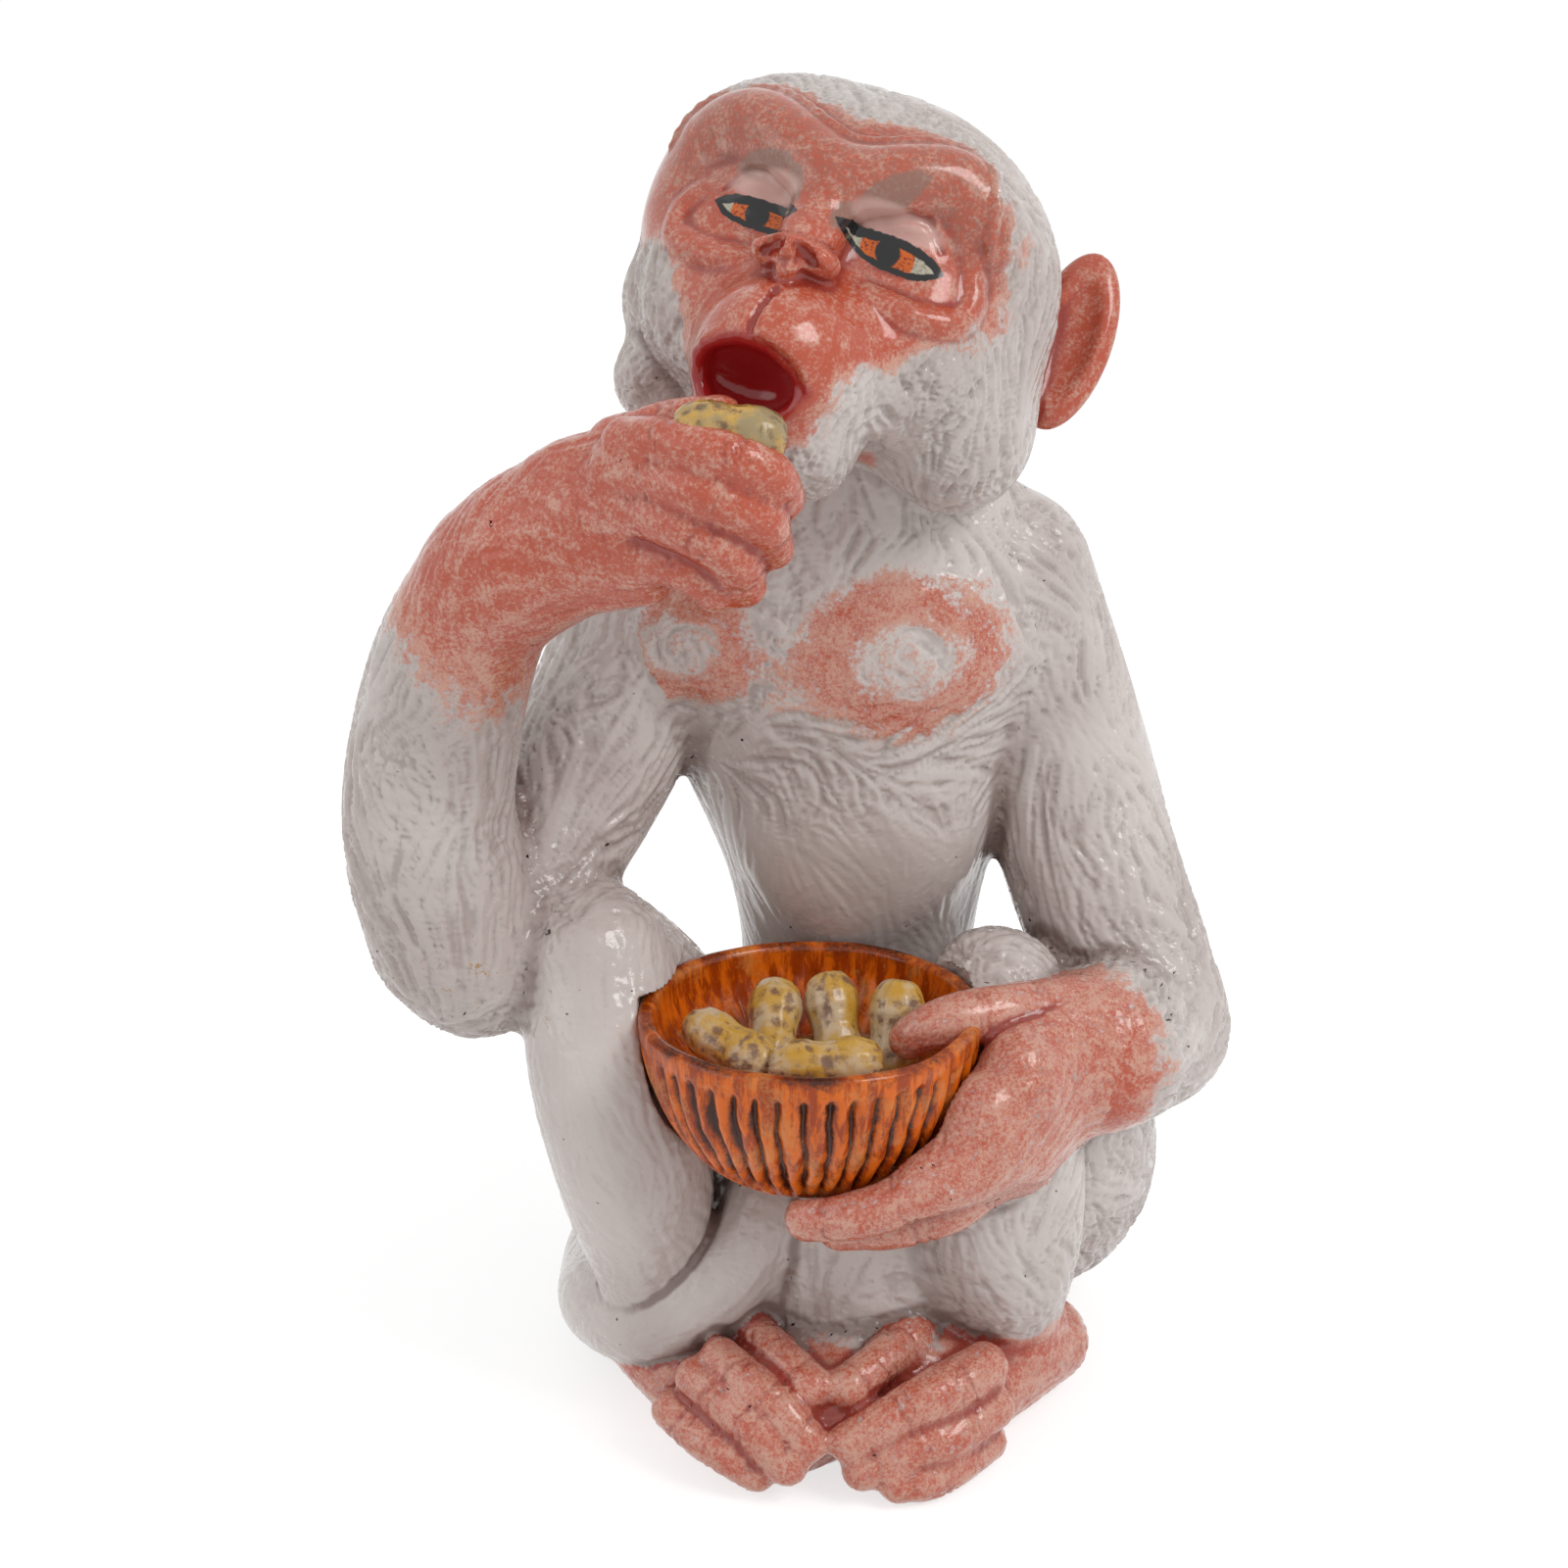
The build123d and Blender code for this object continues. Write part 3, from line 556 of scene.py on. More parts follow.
digits = {
    "right_toe": [
        [(-11.8, -49, 38, 6.5), (-1.5, -64.6, 36, 7), (7.8, -77, 33, 7)],
        [(-19.8, -65.2, 36, 6.5), (-9.7, -77, 33, 7), (0, -84, 28, 7), (7, -88, 20, 6.5)],
        [(-27.5, -66.9, 30, 6.5), (-17.5, -77.4, 27, 7), (-7.5, -86, 22, 7), (1, -90, 13, 6.5)],
        [(-35.1, -68, 19, 6.5), (-25.8, -77.5, 16, 7), (-16.6, -83.9, 13, 7), (-8.4, -86.5, 8, 6)],
    ],
    "left_toe": [
        [(40, -55, 38, 6.5), (30.5, -67, 36, 7), (20.5, -77, 33, 7)],
        [(62, -66, 33, 8), (50.6, -77, 32, 8.5), (36.6, -83.5, 28, 7.5), (20, -88.4, 20, 6.5)],
        [(65, -70, 21, 7), (52.7, -81, 19, 7.5), (39, -86.5, 17, 7.5), (24, -89.5, 11, 6.5)],
        [(64, -69, 8, 6), (54, -81, 8, 6.5), (45, -88, 7, 6.5), (35, -91, 7, 6)],
    ],
    "right_finger": [
        [(-42, -92, 333, 7.5), (-28.5, -104, 335.8, 7.2), (-14, -111, 333.6, 7.2), (-4, -108, 328, 7),
         (0, -99, 320, 6)],
        [(-45, -90, 325, 7.5), (-31, -103, 326, 7.2), (-18, -111, 323, 7.2), (-6.5, -108, 316, 7), (-3, -99, 306, 6)],
        [(-46.6, -88, 315, 7.5), (-34, -101, 315.5, 7.2), (-22, -108, 312, 7.2), (-13.6, -106, 305, 7),
         (-10.6, -98, 295, 6)],
        [(-46, -84, 301.6, 7.5), (-34, -96, 302, 7), (-25, -102, 300.5, 6.5), (-18.6, -99, 294, 6)],
    ],
    "left_finger": [
        [(68, -68, 124, 8.5), (52, -88, 116, 8), (38, -96, 109, 7.5), (22, -97, 103, 7.5), (7, -92, 99, 7)],
        [(68, -66, 107, 9), (52, -78, 97.5, 8.5), (35, -83, 93, 8), (17, -82, 91, 7.5)],
        [(68, -60, 104, 8.5), (52, -64, 91, 8), (34, -66, 90, 8), (16, -64, 90, 7.5)],
        [(70, -52, 104, 8.5), (54, -49, 91, 8), (37, -49, 90, 8), (19, -48, 90, 7.5)],
    ],
}
digitSoft = {"right_toe": 3.5, "left_toe": 3.5, "right_finger": 3.5, "left_finger": 6.0}
digitRows = {}
for kind, tables in digits.items():
    for number, rows in enumerate(tables, start=1):
        digitRows[f"{kind}_{number}"] = rows
        lump = lumpRound(body, rows)
        tube(lump, rows, spacing=3)
        press(body, lump, f"{kind}_{number}", digitSoft[kind])
thumbs = {
    "right_thumb": [(-46, -78, 330, 7.5), (-29, -86, 337, 7), (-17, -90, 340, 6)],
    "left_thumb": [(88, -46, 147, 9.5), (69, -57, 150, 9), (54, -63, 150.5, 8.5), (42, -67, 149, 7), (37, -66, 145, 6)],
}
# The bowl's whole form is cut out of the clay before the thumb goes over its rim.
bowlSide = {"up": (-20, 0, 3, 8, 15, 25, 38, 50, 70), "out": (20, 25, 31.5, 38, 43.5, 48.5, 51, 52, 52), "top": 54.0}
cadLow, cadHigh = (np.array(corner, float) / mm + figure["middle"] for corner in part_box("bowl"))
lump = newLump(body, cadLow - 6, cadHigh + 12)
x = lump["grid"][0] - np.float32((cadLow[0] + cadHigh[0]) / 2)
y = lump["grid"][1] - np.float32((cadLow[1] + cadHigh[1]) / 2)
z = lump["grid"][2] - np.float32(cadLow[2])
girth = np.interp(z.ravel(), bowlSide["up"], bowlSide["out"]).reshape(z.shape).astype(np.float32)
cut = np.maximum((np.sqrt(x * x + y * y) - girth) * 0.85, np.maximum(-z, z - bowlSide["top"]))
body["depth"][lump["cut"]] = np.maximum(body["depth"][lump["cut"]], -cut)
for name, rows in thumbs.items():
    digitRows[name] = rows
    lump = lumpRound(body, rows)
    tube(lump, rows, spacing=3)
    press(body, lump, name, 1.5)
body["depth"] = np.maximum(body["depth"], -body["axes"][2].reshape(1, 1, -1))
print("body clay", body["size"], len(body["names"]) - 1, "pieces")

# Head, worked in its own directions: x across to its left, y up the face, z ahead.

headPlace = np.array((21.0, -4.2, 359.9))
headTurn = unit(np.array([(0.923, -0.330, -0.199), (0.324, 0.386, 0.863), (-0.208, -0.861, 0.463)]))
eyes = [
    {"middle": (-17.5, -1.4), "wide": 13.5, "high": 2.7, "low": 3.6, "lean": -0.06, "iris": (-1.0, -0.2)},
    {"middle": (22.0, -2.0), "wide": 13.4, "high": 3.1, "low": 4.0, "lean": -0.10, "iris": (-1.5, -0.2)},
]
headForm = {
    # Forms: middle, half widths, softness. Rows: place, radius. Lines: places, radius, softness, rise, cut in or not.
    "skull": [
        ((0, 2, -2), (60, 54, 62), 0), ((-44, 6, 12), (18, 32, 28), 12), ((-26, 26, 8), (29, 25, 34), 12),
    ],
    "ruffs": [
        ((40, -30, -10), (23, 26, 32), 12), ((30, -22, 26), (22, 24, 26), 10),
        ((-40, -30, -10), (23, 26, 32), 12), ((-30, -22, 26), (22, 24, 26), 10),
        ((-51, -22, 14), (10, 14, 16), 6), ((-47, -44, 8), (11, 14, 16), 4),
    ],
    "muzzle": [((3, -40, 45), (27, 27, 36), 14), ((4, -60, 40), (22, 15, 28), 7)],
    "sockets": [((-18, -1, 62), (18, 12, 10), 7), ((23, -2, 61), (18, 12, 10), 7)],
    "brow": [(-44, 20, 36, 6), (-30, 25, 46, 6), (-12, 19, 54, 5.5), (2, 12, 57, 6), (15, 17, 54, 5.5),
             (32, 23, 45, 6), (44, 12, 38, 6)],
    "bridge": [(1, 12, 55, 6.5), (1, -3, 60, 6.5), (1.5, -11, 67, 6.5)],
    "nose": [
        ((1.2, -13.5, 71.5), (8.0, 4.2, 9), 2), ((-7.0, -15.0, 69.0), (4.4, 3.6, 7), 3),
        ((9.5, -14.0, 69.0), (4.4, 3.6, 7), 3), ((1.2, -18.5, 71.0), (3.0, 3.6, 8), 3),
    ],
    # The eyeball and its lids, and the fold over them, from the eye's middle.
    "eye": [
        ((0, 1.5, 42.5), (15.5, 9.5, 9.8), 1.5), ((-0.5, 9.3, 42.5), (14.5, 6.6, 11.2), 0.8),
        ((0, -8.5, 43.5), (13, 3.2, 8), 2.5),
    ],
    "fold": [(-13, 5, 50, 0.5), (-7, 11, 52), (0, 13.5, 52), (7, 11, 52), (13, 5, 50, 0.5)],
    "mouth": [((-0.5, -51.5, 80), (18, 10.6, 22), 2.5)],
    "lips": [(-18, -48, 70), (-9, -42.5, 74), (-0.6, -40.5, 76), (10, -45, 72), (17, -50, 66), (13, -57, 66),
             (6, -61, 66), (-3, -61.5, 66), (-11, -59, 66), (-17, -54, 68), (-18, -48, 70)],
    "throat": [((-0.5, -52, 74), (13, 7, 16), 3)],
    "lines": [
        # under the nose, the furrow to the lip, the raised edge of the face, a pouch under each eye
        ([(-9, -20.8, 74, 0.5), (-4, -19.8, 78), (1.2, -18.8, 80), (7, -19.2, 78), (11.5, -19, 73, 0.5)],
         0.6, 1.5, 0.0, True),
        ([(0.8, -19, 80), (-0.4, -25, 81), (-1.4, -33, 82), (-1.5, -41, 82)], 1.1, 1.2, -0.2, True),
        ([(-52, 15, 30, 0.6), (-45, 29, 34), (-28, 34, 44), (-15, 31, 52), (-6, 27, 56.5), (6, 28, 56), (21, 31, 50),
          (29, 31, 45), (36, 26, 45), (42, 16, 44), (46, 6, 42, 0.6)], 1.6, 1.5, 0.1, False),
        ([(-38, 3, 46, 0.5), (-43, -4, 44), (-40, -12, 44), (-30, -16, 48), (-18, -15, 53, 0.5)], 2.0, 4, -0.8, False),
        ([(42, 3, 42, 0.5), (45, -6, 40), (41, -15, 42), (31, -18, 48), (20, -16, 53, 0.5)], 2.0, 4, -0.8, False),
    ],
}
headClay = newClay((-82, -84, -72), (82, 66, 92), figure["headStep"])
lump = newLump(headClay, (-82, -84, -72), (82, 66, 92))
for form in ("skull", "ruffs", "muzzle"):
    balls(lump, headForm[form])
balls(lump, headForm["sockets"], cut=True)
tube(lump, headForm["brow"], soft=9)
tube(lump, headForm["bridge"], soft=6)
balls(lump, headForm["nose"])
for eye in eyes:
    balls(lump, headForm["eye"], at=(*eye["middle"], 0))
balls(lump, headForm["mouth"], cut=True)
ridge(lump, headForm["lips"], 1.5, soft=3, rise=-0.5)
balls(lump, headForm["throat"], cut=True)
for side in (-1, 1):
    nostril = [(1.2 + side * 3.0, -13.8, 80, 0.8), (1.2 + side * 5.4, -16.2, 78), (1.2 + side * 7.2, -18.4, 75, 0.8)]
    ridge(lump, nostril, 2.3, soft=0.6, rise=-1.0, cut=True)
for places, radius, soft, rise, cut in headForm["lines"]:
    ridge(lump, places, radius, soft, rise, cut)
for eye in eyes:
    across, up = eye["middle"]
    ridge(lump, [(across + x, up + y, *rest) for x, y, *rest in headForm["fold"]], 1.1, soft=1.5, cut=True)
press(headClay, lump, "head", 0)
for name, side in (("left_ear", 1), ("right_ear", -1)):
    lump = newLump(headClay, (side * 60 - 30, -30, -60), (side * 60 + 30, 50, 0))
    ball(lump, (side * 60, 8, -30), (13, 28, 6))
    ball(lump, (side * 61, 8, -24), (8, 21, 5), soft=2, cut=True)
    press(headClay, lump, name, 2)
print("head clay", headClay["size"])


# Glazes.

def newMaterial(name):
    material = bpy.data.materials.new(name)
    material.use_nodes = True
    tree = material.node_tree
    return material, tree, tree.nodes["Principled BSDF"]


def wire(tree, kind, inputs=None, **settings):
    # A node with its settings, its inputs set to numbers or joined to other nodes' outputs.
    node = tree.nodes.new(kind)
    for key, value in settings.items():
        setattr(node, key, value)
    for key, value in (inputs or {}).items():
        if isinstance(value, bpy.types.NodeSocket):
            tree.links.new(value, node.inputs[key])
        else:
            node.inputs[key].default_value = value
    return node


def maths(operation, *values):
    tree = next(value.id_data for value in values if isinstance(value, bpy.types.NodeSocket))
    return wire(tree, "ShaderNodeMath", dict(enumerate(values)), operation=operation).outputs[0]


def times(a, b):
    return maths("MULTIPLY", a, b)


def minus(a, b):
    return maths("SUBTRACT", a, b)


def plus(*values):
    total = values[0]
    for value in values[1:]:
        total = maths("ADD", total, value)
    return total


def swing(value, amount):
    # A noise brought to lie round nothing.
    return times(minus(value, 0.5), amount)


def vector(operation, a, *b):
    return wire(a.id_data, "ShaderNodeVectorMath", dict(enumerate((a, *b))), operation=operation).outputs[0]


def noise(where, scale, detail=3.0, rough=0.6):
    inputs = {"Vector": where, "Scale": scale, "Detail": detail, "Roughness": rough}
    return wire(where.id_data, "ShaderNodeTexNoise", inputs).outputs["Fac"]


def between(value, low, high):
    # 0 below the low end, 1 above the high end.
    inputs = {"Value": value, "From Min": low, "From Max": high}
    return wire(value.id_data, "ShaderNodeMapRange", inputs, interpolation_type="SMOOTHSTEP").outputs["Result"]


def blend(share, a, b):
    tree = share.id_data
    node = tree.nodes.new("ShaderNodeMix")
    node.data_type = "RGBA"
    for key, value in (("Factor", share), ("A", a), ("B", b)):
        socket = next(x for x in node.inputs if x.name == key and x.enabled)
        if isinstance(value, bpy.types.NodeSocket):
            tree.links.new(value, socket)
        else:
            socket.default_value = (*value, 1)
    return next(x for x in node.outputs if x.enabled)


def attribute(tree, key, output="Fac"):
    return wire(tree, "ShaderNodeAttribute", attribute_name=key).outputs[output]


def coated(shader, colour, shine, height):
    # The glaze's colour and shine, and small bumps from a height.
    tree = shader.id_data
    tree.links.new(colour, shader.inputs["Base Color"])
    for key in ("Roughness", "IOR", "Coat Weight", "Coat Roughness"):
        shader.inputs[key].default_value = shine[key]
    bump = wire(tree, "ShaderNodeBump", {"Height": height, "Strength": shine["bump"], "Distance": shine["deep"]})
    tree.links.new(bump.outputs["Normal"], shader.inputs["Normal"])


glaze = {
    "white": (0.62, 0.56, 0.53), "shade": (0.50, 0.43, 0.405), "groove": (0.20, 0.135, 0.115),
    # The darkest coral is painted shade for hollows and creases; the groove colour is both the glaze in the fur's
    # grooves and painted shade in hollows.
    "coral": (0.47, 0.080, 0.038), "coralPale": (0.60, 0.32, 0.24), "coralShade": (0.27, 0.024, 0.015),
    "lid": (0.64, 0.40, 0.35), "smudge": (0.20, 0.15, 0.12), "mouth": (0.33, 0.009, 0.010),
    "tan": (0.40, 0.23, 0.10), "speck": (0.07, 0.05, 0.045),
    "ink": (0.012, 0.012, 0.013), "eyeWhite": (0.46, 0.43, 0.33), "iris": (0.62, 0.12, 0.004),
    "rust": (0.22, 0.018, 0.006),
    "shine": {"Roughness": 0.17, "IOR": 1.42, "Coat Weight": 0.2, "Coat Roughness": 0.05, "bump": 0.55, "deep": 0.001},
}


def paintedEye(tree, face, colour, eye):
    # An almond with a dark line round it, an iris and a pupil, painted on the eyeball.
    split = wire(tree, "ShaderNodeSeparateXYZ", {"Vector": face}).outputs
    x = minus(split["X"], eye["middle"][0])
    y = minus(minus(split["Y"], eye["middle"][1]), times(x, eye["lean"]))
    y = plus(y, swing(noise(face, 0.45, 2), 1.4))
    away = maths("DIVIDE", x, eye["wide"])
    away = times(away, away)
    bow = minus(1.0, times(away, plus(0.35, times(away, 0.65))))
    upper = minus(times(bow, eye["high"]), y)
    lower = plus(times(bow, eye["low"]), y)
    edge = maths("MINIMUM", upper, times(lower, 1.4))
    ahead = between(split["Z"], 36, 40)
    near = minus(x, eye["iris"][0])
    high = minus(y, eye["iris"][1])
    radius = maths("SQRT", plus(times(near, near), times(high, high)))
    flecks = noise(face, 1.1, 3)
    white = blend(between(flecks, 0.45, 0.75), glaze["eyeWhite"], glaze["smudge"])
    iris = blend(between(flecks, 0.50, 0.62), glaze["iris"], glaze["rust"])
    eyeball = blend(between(radius, 8.2, 7.7), white, iris)
    eyeball = blend(between(radius, 3.9, 3.4), eyeball, glaze["ink"])
    eyeball = blend(between(edge, 1.3, 0.9), eyeball, glaze["ink"])
    return blend(times(between(edge, -1.8, -1.4), ahead), colour, eyeball)


clayFields = ("fur", "stroke", "coral", "hollowShade", "worn")
faceFields = ("lid", "smudge", "mouth")


def clayGlaze(name, onFace=False):
    material, tree, shader = newMaterial(name)
    where = wire(tree, "ShaderNodeTexCoord").outputs["Object"]
    field = {key: attribute(tree, key) for key in clayFields + (faceFields if onFace else ())}
    fine = noise(where, 900, 3, 0.75)
    speckle = noise(where, 560, 3, 0.7)
    mottle = noise(where, 150, 4, 0.6)
    patches = noise(where, 16, 2)
    clear = blend(between(patches, 0.35, 0.7), glaze["white"], glaze["shade"])
    groove = between(plus(field["fur"], times(speckle, 0.25)), 0.62, 0.18)
    clear = blend(times(groove, 0.34), clear, glaze["groove"])
    chips = times(field["worn"], between(plus(speckle, times(mottle, 0.6)), 0.95, 1.0))
    clear = blend(chips, clear, glaze["tan"])
    specks = noise(where, 330, 1, 0.3)
    clear = blend(between(specks, 0.80, 0.83), clear, glaze["speck"])
    thin = maths("MINIMUM", minus(1.0, field["coral"]), 0.14)
    wear = plus(times(fine, 1.25), times(mottle, 0.6), times(field["stroke"], 0.3), thin)
    paint = blend(between(wear, 0.96, 1.44), glaze["coral"], glaze["coralPale"])
    loose = plus(times(minus(plus(fine, speckle), 1.0), 0.9), swing(field["stroke"], 0.5))
    edge = between(plus(field["coral"], loose), 0.30, 0.70)
    colour = blend(edge, clear, paint)
    # Painted shade: hollows and creases darkened, with the groove colour on clear glaze and a dark coral on the paint.
    deep = blend(edge, glaze["groove"], glaze["coralShade"])
    colour = blend(times(between(field["hollowShade"], 0.06, 0.75), 0.85), colour, deep)
    if onFace:
        face = attribute(tree, "face", "Vector")
        rub = between(plus(field["smudge"], swing(speckle, 0.8)), 0.25, 0.8)
        colour = blend(times(rub, 0.7), colour, glaze["smudge"])
        colour = blend(times(field["lid"], 0.8), colour, glaze["lid"])
        lipped = plus(field["mouth"], swing(mottle, 0.5))
        colour = blend(between(lipped, 0.15, 1.0), colour, glaze["mouth"])
        for eye in eyes:
            colour = paintedEye(tree, face, colour, eye)
    coated(shader, colour, glaze["shine"], plus(times(mottle, 0.3), times(field["fur"], 0.6)))
    return material


clayMaterial = clayGlaze("clay glaze")
faceMaterial = clayGlaze("face glaze", onFace=True)

coralWords = ("hand", "finger", "thumb", "toe", "foot", "ear")

# Where the brush strokes run: a place, the way there, and how far that way holds.
trunkCombs = [
    ((20, -10, 300), (0, -1, -1), 25), ((50, 0, 300), (1, -0.5, -1), 25), ((-20, 0, 300), (-1, -0.5, -1), 25),
    ((40, -22, 216), (1, 0, 0.25), 10), ((74, -8, 228), (1, 0, 1), 12), ((10, -20, 220), (1, 0, -0.4), 10),
    ((-8, -18, 222), (1, 0, 0.1), 14), ((-28, -8, 232), (-1, 0, 1), 14),
    ((24, -10, 180), (0, 0, -1), 22), ((24, -10, 140), (0, 0, -1), 22), ((20, 110, 60), (0, 0, -1), 40),
    ((20, 75, 250), (0, 0, -1), 45), ((20, 75, 160), (0, 0, -1), 45), ((-40, 60, 60), (0, -0.5, -1), 30),
    ((90, 60, 60), (0, -0.5, -1), 30),
]


def limbCombs(rows):
    # Strokes run along a limb.
    rows = smoothRows(rows, 12.0)
    return [(*((a + b) / 2)[:3], *(b - a)[:3], 14.0) for a, b in zip(rows[:-1], rows[1:])]


def ringCombs(across, back, up, size):
    # Strokes run round a breast.
    turns = np.arange(8) * pi / 4
    return [(across + size * cos(t), back, up + size * sin(t), -sin(t), 0, cos(t), 9.0) for t in turns]


def creases(points, rows):
    # Two fine lines across a digit at each of its joints, and one at its tip.
    rows = smoothRows(rows, 2.0)[:, :3]
    nearest = ((points[:, None, :] - rows[None]) ** 2).sum(2).argmin(1)
    length = 2.0 * (len(rows) - 1)
    way = unit(np.gradient(rows, axis=0)[nearest])
    along = nearest / (len(rows) - 1) * length + ((points - rows[nearest]) * way).sum(1)
    along = along + (grain(points, 3.5) - 0.5) * 3.0
    lines = [share * length + shift for share in (0.28, 0.62) for shift in (-2.0, 0.8)] + [0.9 * length]
    broken = 0.3 + 0.7 * ease(grain(points + 9, 4.5), 0.3, 0.65)
    return sum(np.exp(-((along - line) / 0.7) ** 2) for line in lines) * broken


# A stroke's width and length and a line's depth on a digit, in mm, and the reaches over which hollows are felt for the
# shade painted into them.
strokes = {"width": 1.5, "length": 15.0, "contrast": 4.4, "line": 0.7, "small": 1.6, "large": 4.0}


def dress(clay, place, turn, masks, combs, jointed, materials):
    # Brush strokes, masks and painted shade in the hollows for every point, then a mesh for each name.
    mesh = relax(skin(clay), clay)
    points = mesh["points"]
    facing = normals(mesh)
    outer = mesh["outer"]
    n = len(points)
    owner = np.zeros(n, int)
    for column in (0, 1):
        side = mesh["sides"][:, column]
        shown = (mesh["sides"] == 0).any(1) & (side > 0)
        for c in range(4):
            owner[mesh["quads"][shown, c]] = side[shown]
    stroke = np.full(n, 0.5)
    depth = np.zeros(n)
    line = np.zeros(n)
    for label, name in enumerate(mesh["names"]):
        mine = outer & (owner == label)
        if not mine.any():
            continue
        if name in combs:
            rows, amount = combs[name]
            stroke[mine] = combed(points[mine], facing[mine], rows, strokes["width"], strokes["length"])
            depth[mine] = amount
        if name in jointed:
            line[mine] = creases(points[mine], jointed[name])
    stroke = np.clip(0.5 + (stroke - 0.5) * strokes["contrast"], 0, 1)
    fields = masks(points, owner, mesh["names"])
    depth = depth * fields.pop("furry")
    points = points - facing * (depth * ease(1 - stroke, 0.25, 0.95) + strokes["line"] * line)[:, None]
    mesh["points"] = points
    facing = normals(mesh)
    fields["stroke"] = stroke
    fields["fur"] = 1 - (1 - stroke) * np.clip(depth / 0.5, 0, 1)
    # Painted shade: hollows, creases and the lines on the digits are marked, for the glaze to darken them.
    small, large = (np.maximum(hollows(clay, points, strokes[reach]), 0) for reach in ("small", "large"))
    fields["hollowShade"] = np.clip(small + 0.6 * large + 0.5 * line, 0, 1)
    inFrame = toFrame(points @ turn + place)
    facing = facing @ turn
    print(n, "points,", len(mesh["quads"]), "faces")
    for name in mesh["names"][1:]:
        material = materials.get(name, clayMaterial)
        own = fields if name in materials else {key: fields[key] for key in clayFields}
        piece = toObject(mesh, name, inFrame, facing, own, material)
        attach(piece, "root")
        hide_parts(name)


bodyPaint = {
    # Each wrist: a place, the way to the hand, and where along it the coral starts and is whole.
    "wrists": {
        "right": ((-80, -58, 287), (0.55, -0.35, 0.75), (-52, -8)),
        "left": ((99, -38, 0), (-0.85, -0.5, 0), (-16, 6)),
    },
    "breasts": [(36, 250, 42, 32), (-32, 251, 33, 25)],    # across, up, half width, half height
    "pale": 0.79, "full": 0.98,
}


def bodyMasks(points, owner, names):
    x, y, z = points.T
    near = np.array([any(word in name.split("_") for word in coralWords) for name in names])[owner]
    coral = near.astype(float)
    wobble = (grain(points, 9.0) - 0.5) * 10 + (grain(points + 40, 3.0) - 0.5) * 5
    # Coral paint fades into the white over the wrists and the ankles.
    for side, (place, way, (start, whole)) in bodyPaint["wrists"].items():
        along = sum((c - p) * w for c, p, w in zip((x, y, z), place, way))
        arm = np.isin(owner, [names.index(side + "_forearm"), names.index(side + "_hand")])
        coral[arm] = ease(along + wobble, start, whole)[arm]
    for name in ("right_shin", "right_foot", "left_shin", "left_foot"):
        here = owner == names.index(name)
        coral[here] = ease(37 - z + wobble * 0.5, -4, 3)[here]
    chest = owner == names.index("torso")
    for across, up, wide, high in bodyPaint["breasts"]:
        ring = np.sqrt(((x - across) / wide) ** 2 + ((z - up) / high) ** 2)
        paint = 0.8 * ease(1.05 - ring + wobble * 0.014, 0.0, 0.45)
        paint = paint * (1 - 0.6 * ease(0.55 - ring + wobble * 0.012, 0.0, 0.3))
        coral[chest] = np.maximum(coral, paint * (y < 25))[chest]
    bridge = np.exp(-((x / 14) ** 2 + ((z - 243) / 13) ** 2)) * 0.55 * (y < 25)
    coral[chest] = np.maximum(coral, bridge)[chest]
    paler = ("left_hand", "left_finger", "left_thumb")
    pale = np.array(["toe" in name or "foot" in name or name.startswith(paler) for name in names])[owner]
    coral = coral * np.where(pale, bodyPaint["pale"], bodyPaint["full"])
    furry = 1 - ease(coral, 0.2, 0.6) * 0.75
    furry[chest] *= (1 - 0.75 * ease(210 - z, 0, 25) * ease(45 - y, 0, 15))[chest]
    worn = np.exp(-(((x + 88) / 22) ** 2 + ((z - 160) / 18) ** 2)) * (y < 0)
    return {"coral": coral, "furry": furry, "worn": worn}


faceOutline = [
    (43.5, 27.4), (49.5, 17.7), (52, 2.2), (52, -8.6), (48, -17.6), (40, -25), (34, -30), (28, -38), (24, -48),
    (20, -58), (10, -74), (-12, -76), (-22, -62), (-26, -48), (-29, -36), (-32, -28), (-36, -21), (-46, -16),
    (-62, -8), (-66, 6), (-60, 20), (-48, 34), (-28, 40), (-16, 39), (-1.5, 33), (10, 36), (20, 38), (31, 36),
    (39, 30),
]
mouthOutline = [place[:2] for place in headForm["lips"][:-1]]
# Brown rubbed in round the brows: across, up, half width, half height, lean.
browSmudges = [(-19.5, 11.5, 12, 4.6, 0.1), (-8, 5.5, 4.2, 8, 0.1), (19, 12, 14, 4.8, 0.8), (9, 1.5, 3.5, 6, -0.2)]


